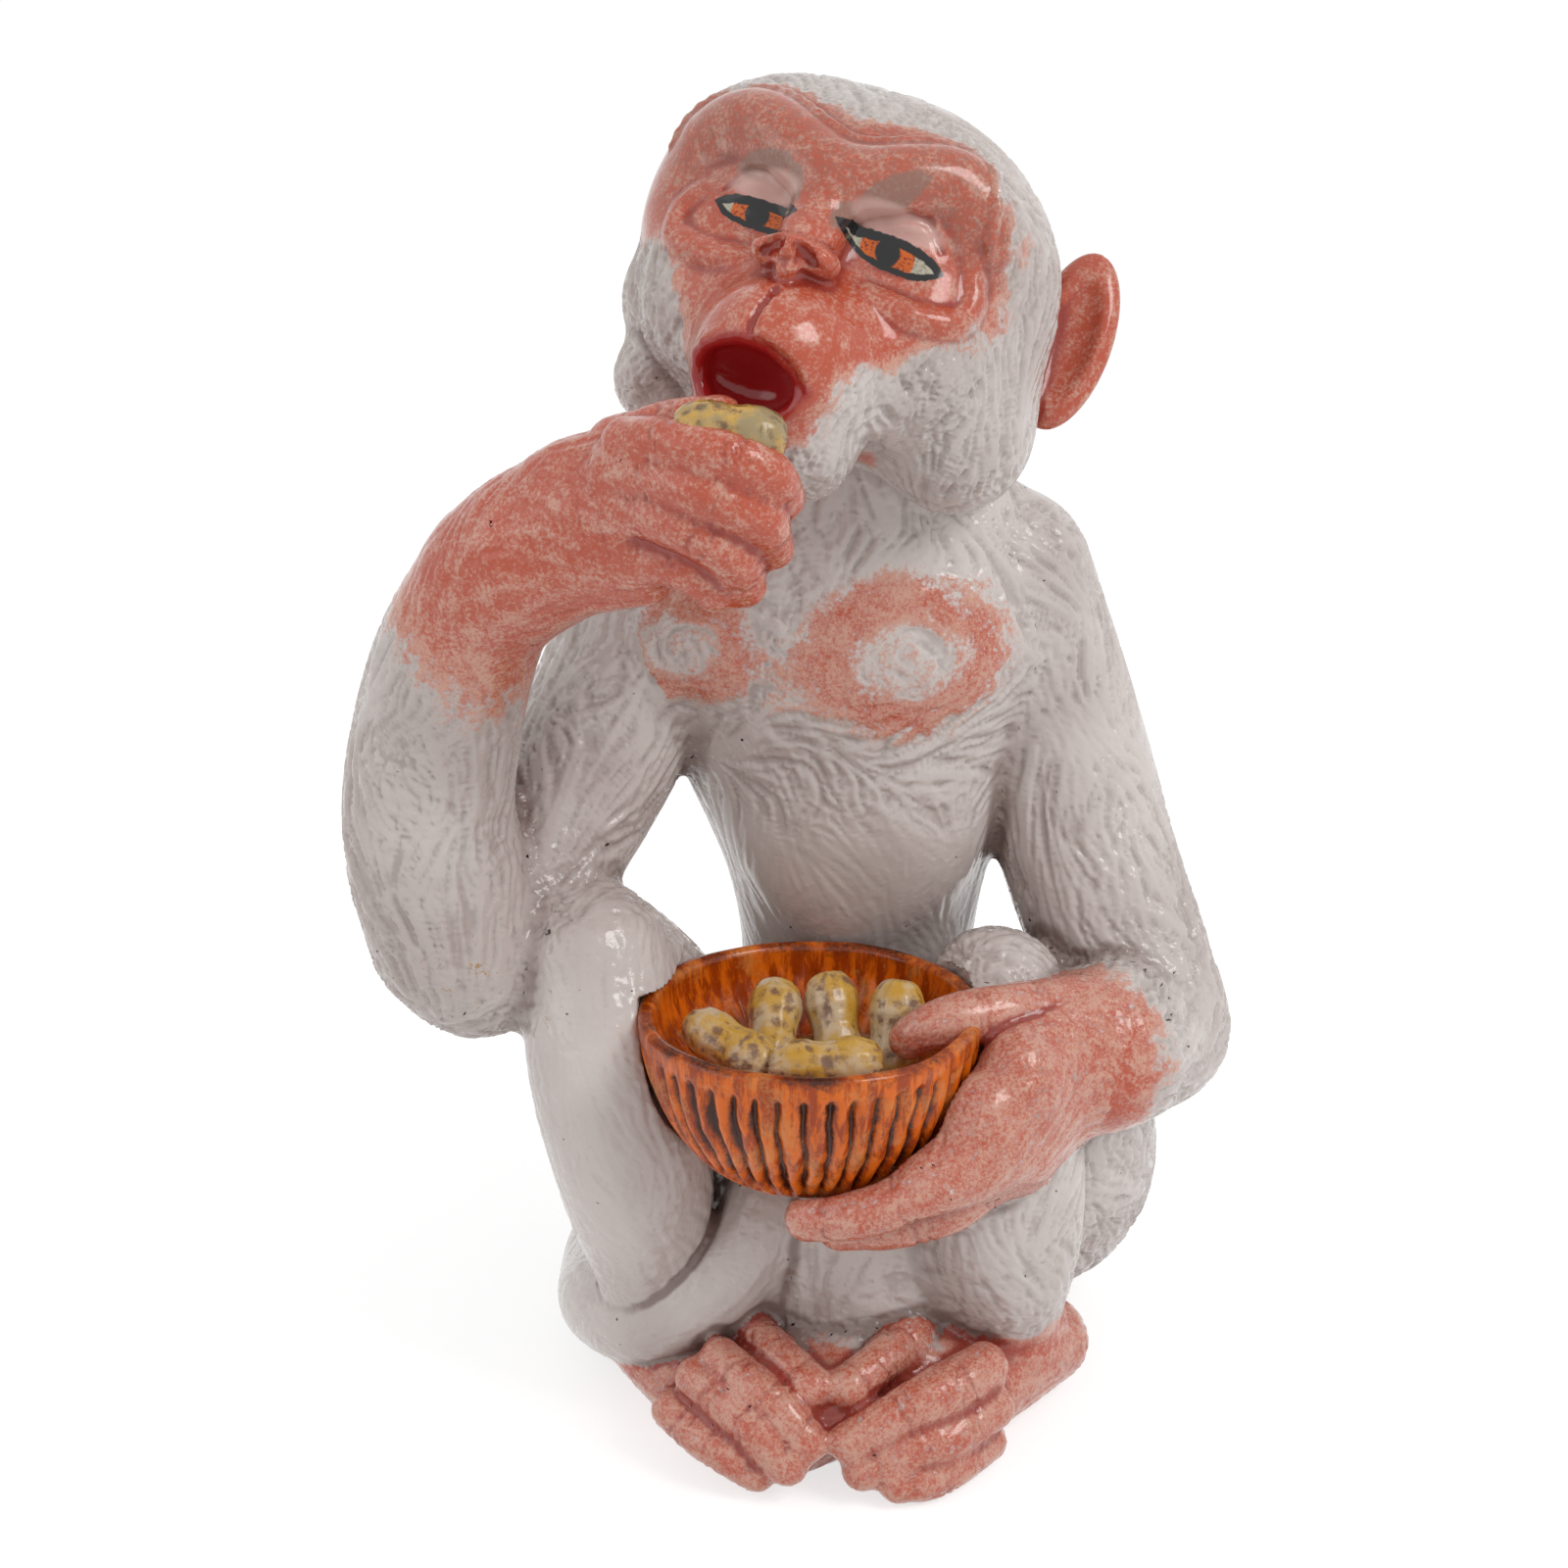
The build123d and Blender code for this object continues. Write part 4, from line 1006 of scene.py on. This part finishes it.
def headMasks(points, owner, names):
    x, y, z = points.T
    wobble = (grain(points, 7.0) - 0.5) * 5 + (grain(points + 40, 2.5) - 0.5) * 1.5
    coral = ease(inside(points[:, :2], faceOutline) + wobble, -4, 4) * ease(z, -6, 4)
    ears = owner != names.index("head")
    coral[ears] = 1
    smudge = np.zeros(len(points))
    for across, up, wide, high, lean in browSmudges:
        u = (x - across) * cos(lean) + (y - up) * sin(lean)
        v = (y - up) * cos(lean) - (x - across) * sin(lean)
        smudge = np.maximum(smudge, ease(1.2 - np.sqrt((u / wide) ** 2 + (v / high) ** 2), 0, 0.7))
    muzzle = np.sqrt((x - 3) ** 2 + (y + 38) ** 2)
    smudge = np.maximum(smudge, (0.34 + 0.12 * ease(y, -10, 12)) * ease(muzzle, 20, 36))
    lid = np.zeros(len(points))
    for eye in eyes:
        across, up = eye["middle"]
        lid = np.maximum(lid, ease(1.15 - np.sqrt(((x - across) / 12.5) ** 2 + ((y - up - 7.5) / 4.5) ** 2), 0, 0.4))
    mouth = ease(inside(points[:, :2], mouthOutline) + wobble * 0.5, -4.5, 1.5) * ease(z, 44, 50)
    ruff = np.exp(-(((x - 46) / 16) ** 2 + ((y + 38) / 16) ** 2)) * (z > 0)
    front = ease(z, 20, 30)
    coral[~ears] *= (1 - ease(-y, 55, 62) * ease(20 - z, 0, 10))[~ears]
    furry = (1 - ease(coral, 0.1, 0.7)) * (1 + 0.7 * ruff)
    return {"coral": coral, "furry": furry, "worn": np.zeros(len(points)), "smudge": smudge * front, "lid": lid * front,
            "mouth": mouth, "face": points.copy()}


# How deep the strokes go, in mm, on pieces by name, and on others by their kind.
furDepth = {"torso": 1.15, "right_shin": 0.35, "left_shin": 0.7, "tail": 0.35, "head": 1.1}
kindDepth = {"limb": 1.3, "palm": 1.9, "digit": 1.0, "ear": 0.2}
breastRings = [(36, -20, 250, 30), (-32, -14, 251, 24), (36, -20, 250, 15), (-32, -14, 251, 12)]
torsoCombs = [(*p, *w, r) for p, w, r in trunkCombs] + [comb for ring in breastRings for comb in ringCombs(*ring)]
bodyCombs = {"torso": (torsoCombs, furDepth["torso"])}
for name, (rows, *_) in limbs.items():
    bodyCombs[name] = (limbCombs(rows), furDepth.get(name, kindDepth["limb"]))
for name, (rows, *_) in ovals.items():
    bodyCombs[name] = (limbCombs([r[:4] for r in rows]), furDepth.get(name, kindDepth["palm"]))
for name, rows in digitRows.items():
    bodyCombs[name] = (limbCombs(rows), kindDepth["digit"])
headCombs = {"head": ([
    (-58, 0, 10, -0.1, -1, -0.4, 20), (-52, -25, 10, 0, -1, -0.3, 16), (-46, -50, 8, 0.2, -1, -0.2, 16),
    (50, -20, 25, 0.1, -1, -0.3, 18), (40, -36, 25, 0.2, -1, -0.5, 16), (58, 0, 5, 0, -1, -0.2, 20),
    (50, -40, 0, 0.2, -1, -0.2, 18), (0, 50, 30, 0, 0.4, -1, 25), (-30, 46, 20, -0.6, 0.3, -1, 22),
    (30, 44, 20, 0.6, 0.2, -1, 22), (48, 30, 5, 1, -0.4, -1, 20), (-50, 30, 5, -1, -0.4, -1, 20),
    (0, 10, -60, 0, -1, 0, 40), (0, -40, -50, 0, -1, 0, 40), (10, -62, 10, 0.1, -0.3, -1, 20),
    (0, 22, 60, 1, 0.1, 0, 12), (-30, 18, 50, 1, -0.4, 0, 12), (30, 18, 50, 1, 0.4, 0, 12),
    (0, -30, 80, 0.3, -1, 0, 10), (20, -34, 66, 0.3, -1, -0.3, 10), (-18, -34, 66, -0.2, -1, -0.3, 10),
    (44, 5, 40, 0.1, -1, 0, 10), (-46, 5, 40, -0.1, -1, 0, 10),
], furDepth["head"])}
for name, across in (("left_ear", 60), ("right_ear", -60)):
    headCombs[name] = ([(across, 8, -30, 0, 1, 0, 30)], kindDepth["ear"])
dress(body, np.zeros(3), np.eye(3), bodyMasks, bodyCombs, digitRows, {})
dress(headClay, headPlace, headTurn, headMasks, headCombs, {}, {"head": faceMaterial})

# Bowl and peanuts.

def newTree(name, vectors, numbers):
    # A Geometry Nodes tree with named inputs after its geometry, and one geometry out.
    tree = bpy.data.node_groups.new(name, "GeometryNodeTree")
    sockets = [(label, "Vector") for label in vectors] + [(label, "Float") for label in numbers]
    for label, kind in (("Geometry", "Geometry"), *sockets, ("Glaze", "Material")):
        tree.interface.new_socket(label, in_out="INPUT", socket_type="NodeSocket" + kind)
    tree.interface.new_socket("Geometry", in_out="OUTPUT", socket_type="NodeSocketGeometry")
    return tree, tree.nodes.new("NodeGroupInput").outputs


def closeTree(tree, given, groove, shift):
    # Each point keeps how deep it lies in a groove, moves, and gets its glaze.
    inputs = {"Geometry": given["Geometry"], "Name": "groove", "Value": groove}
    kept = wire(tree, "GeometryNodeStoreNamedAttribute", inputs, data_type="FLOAT", domain="POINT")
    moved = wire(tree, "GeometryNodeSetPosition", {"Geometry": kept.outputs["Geometry"], "Offset": shift})
    real = wire(tree, "GeometryNodeRealizeInstances", {"Geometry": moved.outputs["Geometry"]})
    done = wire(tree, "GeometryNodeSetMaterial", {"Geometry": real.outputs["Geometry"], "Material": given["Glaze"]})
    wire(tree, "NodeGroupOutput", {"Geometry": done.outputs["Geometry"]})
    return tree


def pushed(facing, amount):
    return wire(facing.id_data, "ShaderNodeVectorMath", {0: facing, "Scale": amount}, operation="SCALE").outputs[0]


def grown(piece, tree, values):
    # The tree's result as a plain mesh in place of the piece's own.
    modifier = piece.modifiers.new(tree.name, "NODES")
    modifier.node_group = tree
    for item in tree.interface.items_tree:
        if item.in_out == "INPUT" and item.name in values:
            modifier[item.identifier] = values[item.name]
    graph = bpy.context.evaluated_depsgraph_get()
    data = bpy.data.meshes.new_from_object(piece.evaluated_get(graph), preserve_all_data_layers=True, depsgraph=graph)
    piece.modifiers.clear()
    old = piece.data
    piece.data = data
    bpy.data.meshes.remove(old)
    data.shade_smooth()
    return piece


def lathe(name, profile, columns, middle):
    # A closed turned form: rows of (radius, height) from the foot's middle round to the inside's middle.
    turns = np.arange(columns) * 2 * pi / columns
    points = [(0, 0, profile[0][1])]
    for radius, height in profile[1:-1]:
        points += [(radius * cos(t), radius * sin(t), height) for t in turns]
    points.append((0, 0, profile[-1][1]))
    last = len(points) - 1
    faces = []
    for k in range(columns):
        after = (k + 1) % columns
        faces.append((0, 1 + after, 1 + k))
        for row in range(len(profile) - 3):
            low, high = 1 + row * columns, 1 + (row + 1) * columns
            faces.append((low + k, low + after, high + after, high + k))
        faces.append((last, last - columns + k, last - columns + after))
    data = bpy.data.meshes.new(name)
    data.from_pydata([tuple(np.array(p) + middle) for p in points], [], faces)
    return placed(name, data)


def bowlProfile(form):
    # Foot, bulging side, rounded rim and the hollow inside, in metres.
    high, wide, foot, wall = form["height"], form["radius"], form["foot"], form["wall"]
    outside = [(foot * t, 0.0) for t in np.linspace(0, 1, 6)]
    outside += [(foot + (wide - foot) * sin(t * pi / 2) ** 0.86, high * (0.02 + 0.93 * (1 - cos(t * pi / 2)) ** 0.74))
                for t in np.linspace(0.04, 1, 54)]
    top = outside[-1][1]
    outside[-1] = (wide, top)
    rim = [(wide - wall / 2 + wall / 2 * cos(t), top + wall / 2 * 0.9 * sin(t)) for t in np.linspace(0.2, pi - 0.1, 9)]
    bottom = form["floor"]
    inner = [((wide - wall) * sin(t * pi / 2) ** 0.8, bottom + (top - bottom) * (1 - cos(t * pi / 2)) ** 0.8)
             for t in np.linspace(0.97, 0.04, 30)]
    return outside + rim + inner + [(0.0, bottom)]


def ribTree():
    # Hand-cut ribs: grooves down the side, uneven in width and depth, and a wavy rim.
    tree, given = newTree("ribs", ("Middle",), ("Ribs", "Depth", "Foot", "Band", "Rim", "Wave"))
    place = wire(tree, "GeometryNodeInputPosition").outputs["Position"]
    facing = wire(tree, "GeometryNodeInputNormal").outputs["Normal"]
    split = wire(tree, "ShaderNodeSeparateXYZ", {"Vector": vector("SUBTRACT", place, given["Middle"])}).outputs
    level = wire(tree, "ShaderNodeCombineXYZ", {"X": split["X"], "Y": split["Y"]}).outputs["Vector"]
    dot = wire(tree, "ShaderNodeVectorMath", {0: facing, 1: vector("NORMALIZE", level)}, operation="DOT_PRODUCT")
    outward = dot.outputs["Value"]
    turn = plus(maths("ARCTAN2", split["Y"], split["X"]), times(noise(place, 60, 2), 0.10))
    rib = maths("POWER", maths("ABSOLUTE", maths("SINE", times(turn, times(given["Ribs"], 0.5)))), 0.9)
    top = minus(given["Rim"], given["Band"])
    low = between(split["Z"], given["Foot"], plus(given["Foot"], 0.006))
    high = between(split["Z"], top, minus(top, 0.004))
    outer = between(outward, 0.15, 0.45)
    inner = between(outward, -0.15, -0.45)
    cut = times(minus(1.0, rib), times(low, high))
    groove = plus(times(cut, outer), times(times(cut, inner), 0.3))
    uneven = plus(0.6, times(noise(place, 35, 2), 0.8))
    sink = times(times(groove, uneven), times(given["Depth"], -1.0))
    nearRim = between(split["Z"], minus(given["Rim"], 0.012), given["Rim"])
    lift = times(times(minus(noise(place, 20, 1), 0.62), nearRim), given["Wave"])
    lifted = wire(tree, "ShaderNodeCombineXYZ", {"Z": lift}).outputs["Vector"]
    return closeTree(tree, given, groove, vector("ADD", pushed(facing, sink), lifted))


def shellTree():
    # A peanut shell's net: long ridges joined by short ones, over an uneven form.
    tree, given = newTree("shell", (), ("Length", "Depth", "Ridges", "Rows", "Seed"))
    place = wire(tree, "GeometryNodeInputPosition").outputs["Position"]
    facing = wire(tree, "GeometryNodeInputNormal").outputs["Normal"]
    split = wire(tree, "ShaderNodeSeparateXYZ", {"Vector": place}).outputs

    def uneven(scale, detail):
        inputs = {"Vector": place, "W": given["Seed"], "Scale": scale, "Detail": detail}
        return wire(tree, "ShaderNodeTexNoise", inputs, noise_dimensions="4D").outputs["Fac"]

    def waves(turn):
        return maths("POWER", maths("ABSOLUTE", maths("SINE", turn)), 0.6)

    loose = uneven(90.0, 2.0)
    turn = plus(maths("ARCTAN2", split["Y"], split["X"]), loose)
    bend = plus(times(maths("DIVIDE", split["Z"], given["Length"]), given["Rows"]), times(loose, 2.5))
    dent = times(waves(times(turn, times(given["Ridges"], 0.5))), waves(times(bend, pi)))
    sink = plus(times(dent, -1.0), times(minus(uneven(45.0, 1.0), 0.62), 2.6))
    return closeTree(tree, given, dent, pushed(facing, times(sink, given["Depth"])))


def bowlGlaze():
    material, tree, shader = newMaterial("bowl glaze")
    where = wire(tree, "ShaderNodeTexCoord").outputs["Object"]
    streak = noise(vector("MULTIPLY", where, (1.0, 1.0, 0.16)), 210, 4, 0.7)
    cloud = noise(where, 55, 4, 0.65)
    fine = noise(where, 900, 2, 0.7)
    colour = blend(between(streak, 0.42, 0.58), amber["rust"], amber["gold"])
    bloom = between(plus(cloud, swing(fine, 0.3)), 0.52, 0.64)
    colour = blend(times(bloom, 0.4), colour, amber["tan"])
    up = wire(tree, "ShaderNodeSeparateXYZ", {"Vector": where}).outputs["Z"]
    rim = between(plus(up, times(streak, 0.008)), bowlMiddle[2] + 0.048, bowlMiddle[2] + 0.058)
    dark = plus(times(attribute(tree, "groove"), 0.9), swing(cloud, -1.8), swing(fine, 0.5), times(rim, 0.5))
    colour = blend(between(dark, 0.19, 0.74), colour, amber["brown"])
    coated(shader, colour, amber["shine"], plus(streak, cloud))
    return material


def nutGlaze(name, colours):
    material, tree, shader = newMaterial(name)
    where = wire(tree, "ShaderNodeTexCoord").outputs["Object"]
    cloud = noise(where, 70, 4, 0.65)
    fine = noise(where, 700, 3, 0.7)
    colour = blend(between(cloud, 0.40, 0.60), colours["first"], colours["second"])
    dirt = plus(times(attribute(tree, "groove"), 0.22), times(noise(where, 130, 4, 0.65), 1.2), times(fine, 0.3))
    colour = blend(times(between(dirt, 0.84, 1.08), 0.85), colour, colours["dirt"])
    coated(shader, colour, nutShine, fine)
    return material


amber = {
    "gold": (0.70, 0.135, 0.004), "rust": (0.34, 0.045, 0.002), "tan": (0.60, 0.28, 0.08),
    "brown": (0.055, 0.012, 0.005),
    "shine": {"Roughness": 0.2, "IOR": 1.36, "Coat Weight": 0.12, "Coat Roughness": 0.05, "bump": 0.25, "deep": 0.001},
}
low, high = (np.array(corner, float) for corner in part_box("bowl"))
bowlForm = {"height": high[2] - low[2], "radius": 0.052, "foot": 0.024, "wall": 0.005, "floor": 0.015, "ribs": 44}
bowlMiddle = np.array(((low[0] + high[0]) / 2, (low[1] + high[1]) / 2, low[2]))
piece = lathe("ribbed_bowl", bowlProfile(bowlForm), bowlForm["ribs"] * (16), bowlMiddle)
grown(piece, ribTree(), {
    "Middle": tuple(bowlMiddle), "Ribs": bowlForm["ribs"], "Depth": 0.0026, "Foot": 0.003, "Band": 0.0065,
    "Rim": bowlForm["height"], "Wave": 0.006, "Glaze": bowlGlaze(),
})
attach(piece, "root")
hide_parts("bowl")

nutForm = {"length": 0.035, "radius": 0.0096, "waist": 0.0080}
heldForm = {"length": 0.031, "radius": 0.0100, "waist": 0.0088}
nutShine = {"Roughness": 0.2, "IOR": 1.4, "Coat Weight": 0.2, "Coat Roughness": 0.06, "bump": 0.2, "deep": 0.0006}
nutColours = {"first": (0.58, 0.33, 0.05), "second": (0.60, 0.46, 0.29), "dirt": (0.17, 0.08, 0.055)}
heldColours = {"first": (0.34, 0.26, 0.13), "second": (0.58, 0.34, 0.07), "dirt": (0.12, 0.06, 0.03)}
nutPlain = nutGlaze("peanut glaze", nutColours)
nutHeld = nutGlaze("held peanut glaze", heldColours)
shell = shellTree()


def nutProfile(form, fat):
    # Two round lobes and a waist, along the height.
    half = form["length"] / 2
    rows = []
    for t in np.linspace(0, pi, 44):
        reach = -cos(t)
        pinch = (1 - form["waist"] / form["radius"]) * np.exp(-(reach / 0.34) ** 2) * 1.15
        girth = form["radius"] * sin(t) ** 0.62 * (1 - pinch)
        rows.append((girth * (1 + fat * reach), half * reach))
    return rows


nuts = [
    # name, place from the bowl's foot in mm, way, fatter end, seed
    ("peanut_1", (-21.8, -6.2, 23.9), (0.6, -0.75, 0), 0.06, 1.0),
    ("peanut_2", (16.1, -9.9, 23.9), (0.95, 0.3, 0), -0.05, 2.0),
    ("peanut_3", (6.2, 21.8, 23.9), (1, 0.1, 0), 0.05, 3.0),
    ("peanut_4", (7.8, 18.2, 36.8), (0.15, -0.55, -0.75), -0.08, 4.0),
    ("peanut_5", (-11.4, 14.0, 37.3), (-0.08, -0.75, -0.6), -0.06, 5.0),
    ("peanut_6", (26.0, 12.0, 36.7), (-0.1, -0.4, -0.85), -0.07, 6.0),
    ("peanut_7", (-23.9, -6.2, 41.3), (0.74, -0.65, -0.2), 0.05, 7.0),
    ("peanut_8", (4.2, -17.7, 40.8), (0.98, 0.05, 0), 0.06, 8.0),
]
nuts = [(name, bowlMiddle + np.array(place) * mm, way, fat, seed, nutPlain) for name, place, way, fat, seed in nuts]
nuts.append(("held_peanut", toFrame((-14.5, -102.5, 338.0)), (0.98, 0, -0.14), 0.05, 9.0, nutHeld))
for name, place, way, fat, seed, nutMaterial in nuts:
    profile = nutProfile(heldForm if name == "held_peanut" else nutForm, fat)
    piece = lathe("shell_" + name, profile, 56, np.zeros(3))
    grown(piece, shell, {"Length": nutForm["length"], "Depth": 0.00055, "Ridges": 11.0, "Rows": 7.0, "Seed": seed,
                         "Glaze": nutMaterial})
    piece.data.transform(Matrix.Translation(place) @ Vector(way).to_track_quat("Z", "Y").to_matrix().to_4x4())
    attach(piece, "root")
    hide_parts(name)
print("bowl and peanuts")

# Floor, light and camera.

studio = {
    "reach": 40.0, "sky": 0.66, "floor": 0.45,
    "lamps": [     # name, place, what it shines at, width, watts
        ("key", (1.2, -0.9, 1.6), (0, 0, 0.2), 0.8, 15.0), ("fill", (-1.5, -0.6, 0.9), (0, 0, 0.25), 1.2, 4.0),
    ],
}
far = studio["reach"]
floorMesh = bpy.data.meshes.new("floor")
floorMesh.from_pydata([(-far, -far, 0), (far, -far, 0), (far, far, 0), (-far, far, 0)], [], [(0, 1, 2, 3)])
floor = placed("floor", floorMesh)


def looking(tree):
    # 1 where the camera looks straight at a surface, or sees it in or through another.
    path = wire(tree, "ShaderNodeLightPath").outputs
    seen = maths("MAXIMUM", path["Is Camera Ray"], path["Is Glossy Ray"])
    return maths("MAXIMUM", seen, path["Is Transmission Ray"])


floorPaint, tree, shader = newMaterial("floor")
shader.inputs["Base Color"].default_value = (0.85, 0.85, 0.85, 1)
shader.inputs["Roughness"].default_value = 0.9
pale = wire(tree, "ShaderNodeBsdfDiffuse", {"Color": (studio["floor"],) * 3 + (1,)})
glow = wire(tree, "ShaderNodeEmission", {"Color": (1, 1, 1, 1), "Strength": 1 - studio["floor"] * studio["sky"]})
both = wire(tree, "ShaderNodeAddShader")
tree.links.new(pale.outputs[0], both.inputs[0])
tree.links.new(glow.outputs[0], both.inputs[1])
mix = wire(tree, "ShaderNodeMixShader", {"Fac": looking(tree)})
tree.links.new(shader.outputs[0], mix.inputs[1])
tree.links.new(both.outputs[0], mix.inputs[2])
tree.links.new(mix.outputs[0], tree.nodes["Material Output"].inputs["Surface"])
floorMesh.materials.append(floorPaint)

world = bpy.data.worlds.new("studio")
bpy.context.scene.world = world
world.use_nodes = True
tree = world.node_tree
sky = tree.nodes["Background"]
sky.inputs["Color"].default_value = (1, 1, 1, 1)
level = plus(studio["sky"], times(looking(tree), 1 - studio["sky"]))
tree.links.new(level, sky.inputs["Strength"])

for name, place, target, size, power in studio["lamps"]:
    light = bpy.data.lights.new(name, "AREA")
    light.size = size
    light.energy = power
    holder = placed(name, light)
    holder.location = place
    holder.rotation_euler = (Vector(target) - Vector(place)).to_track_quat("-Z", "Y").to_euler()

camera = {"lens": 68.4, "tilt": 20.0, "distance": 950.0, "look": (0.0, 17.0, 196.0)}
view = bpy.data.cameras.new("camera")
view.lens = camera["lens"]
view.sensor_width = 36
holder = placed("camera", view)
back = np.array((0, -cos(radians(camera["tilt"])), sin(radians(camera["tilt"])))) * camera["distance"]
holder.location = toFrame(np.array(camera["look"]) + back)
holder.rotation_euler = (radians(90 - camera["tilt"]), 0, 0)
bpy.context.scene.camera = holder
bpy.context.scene.view_settings.view_transform = "Standard"
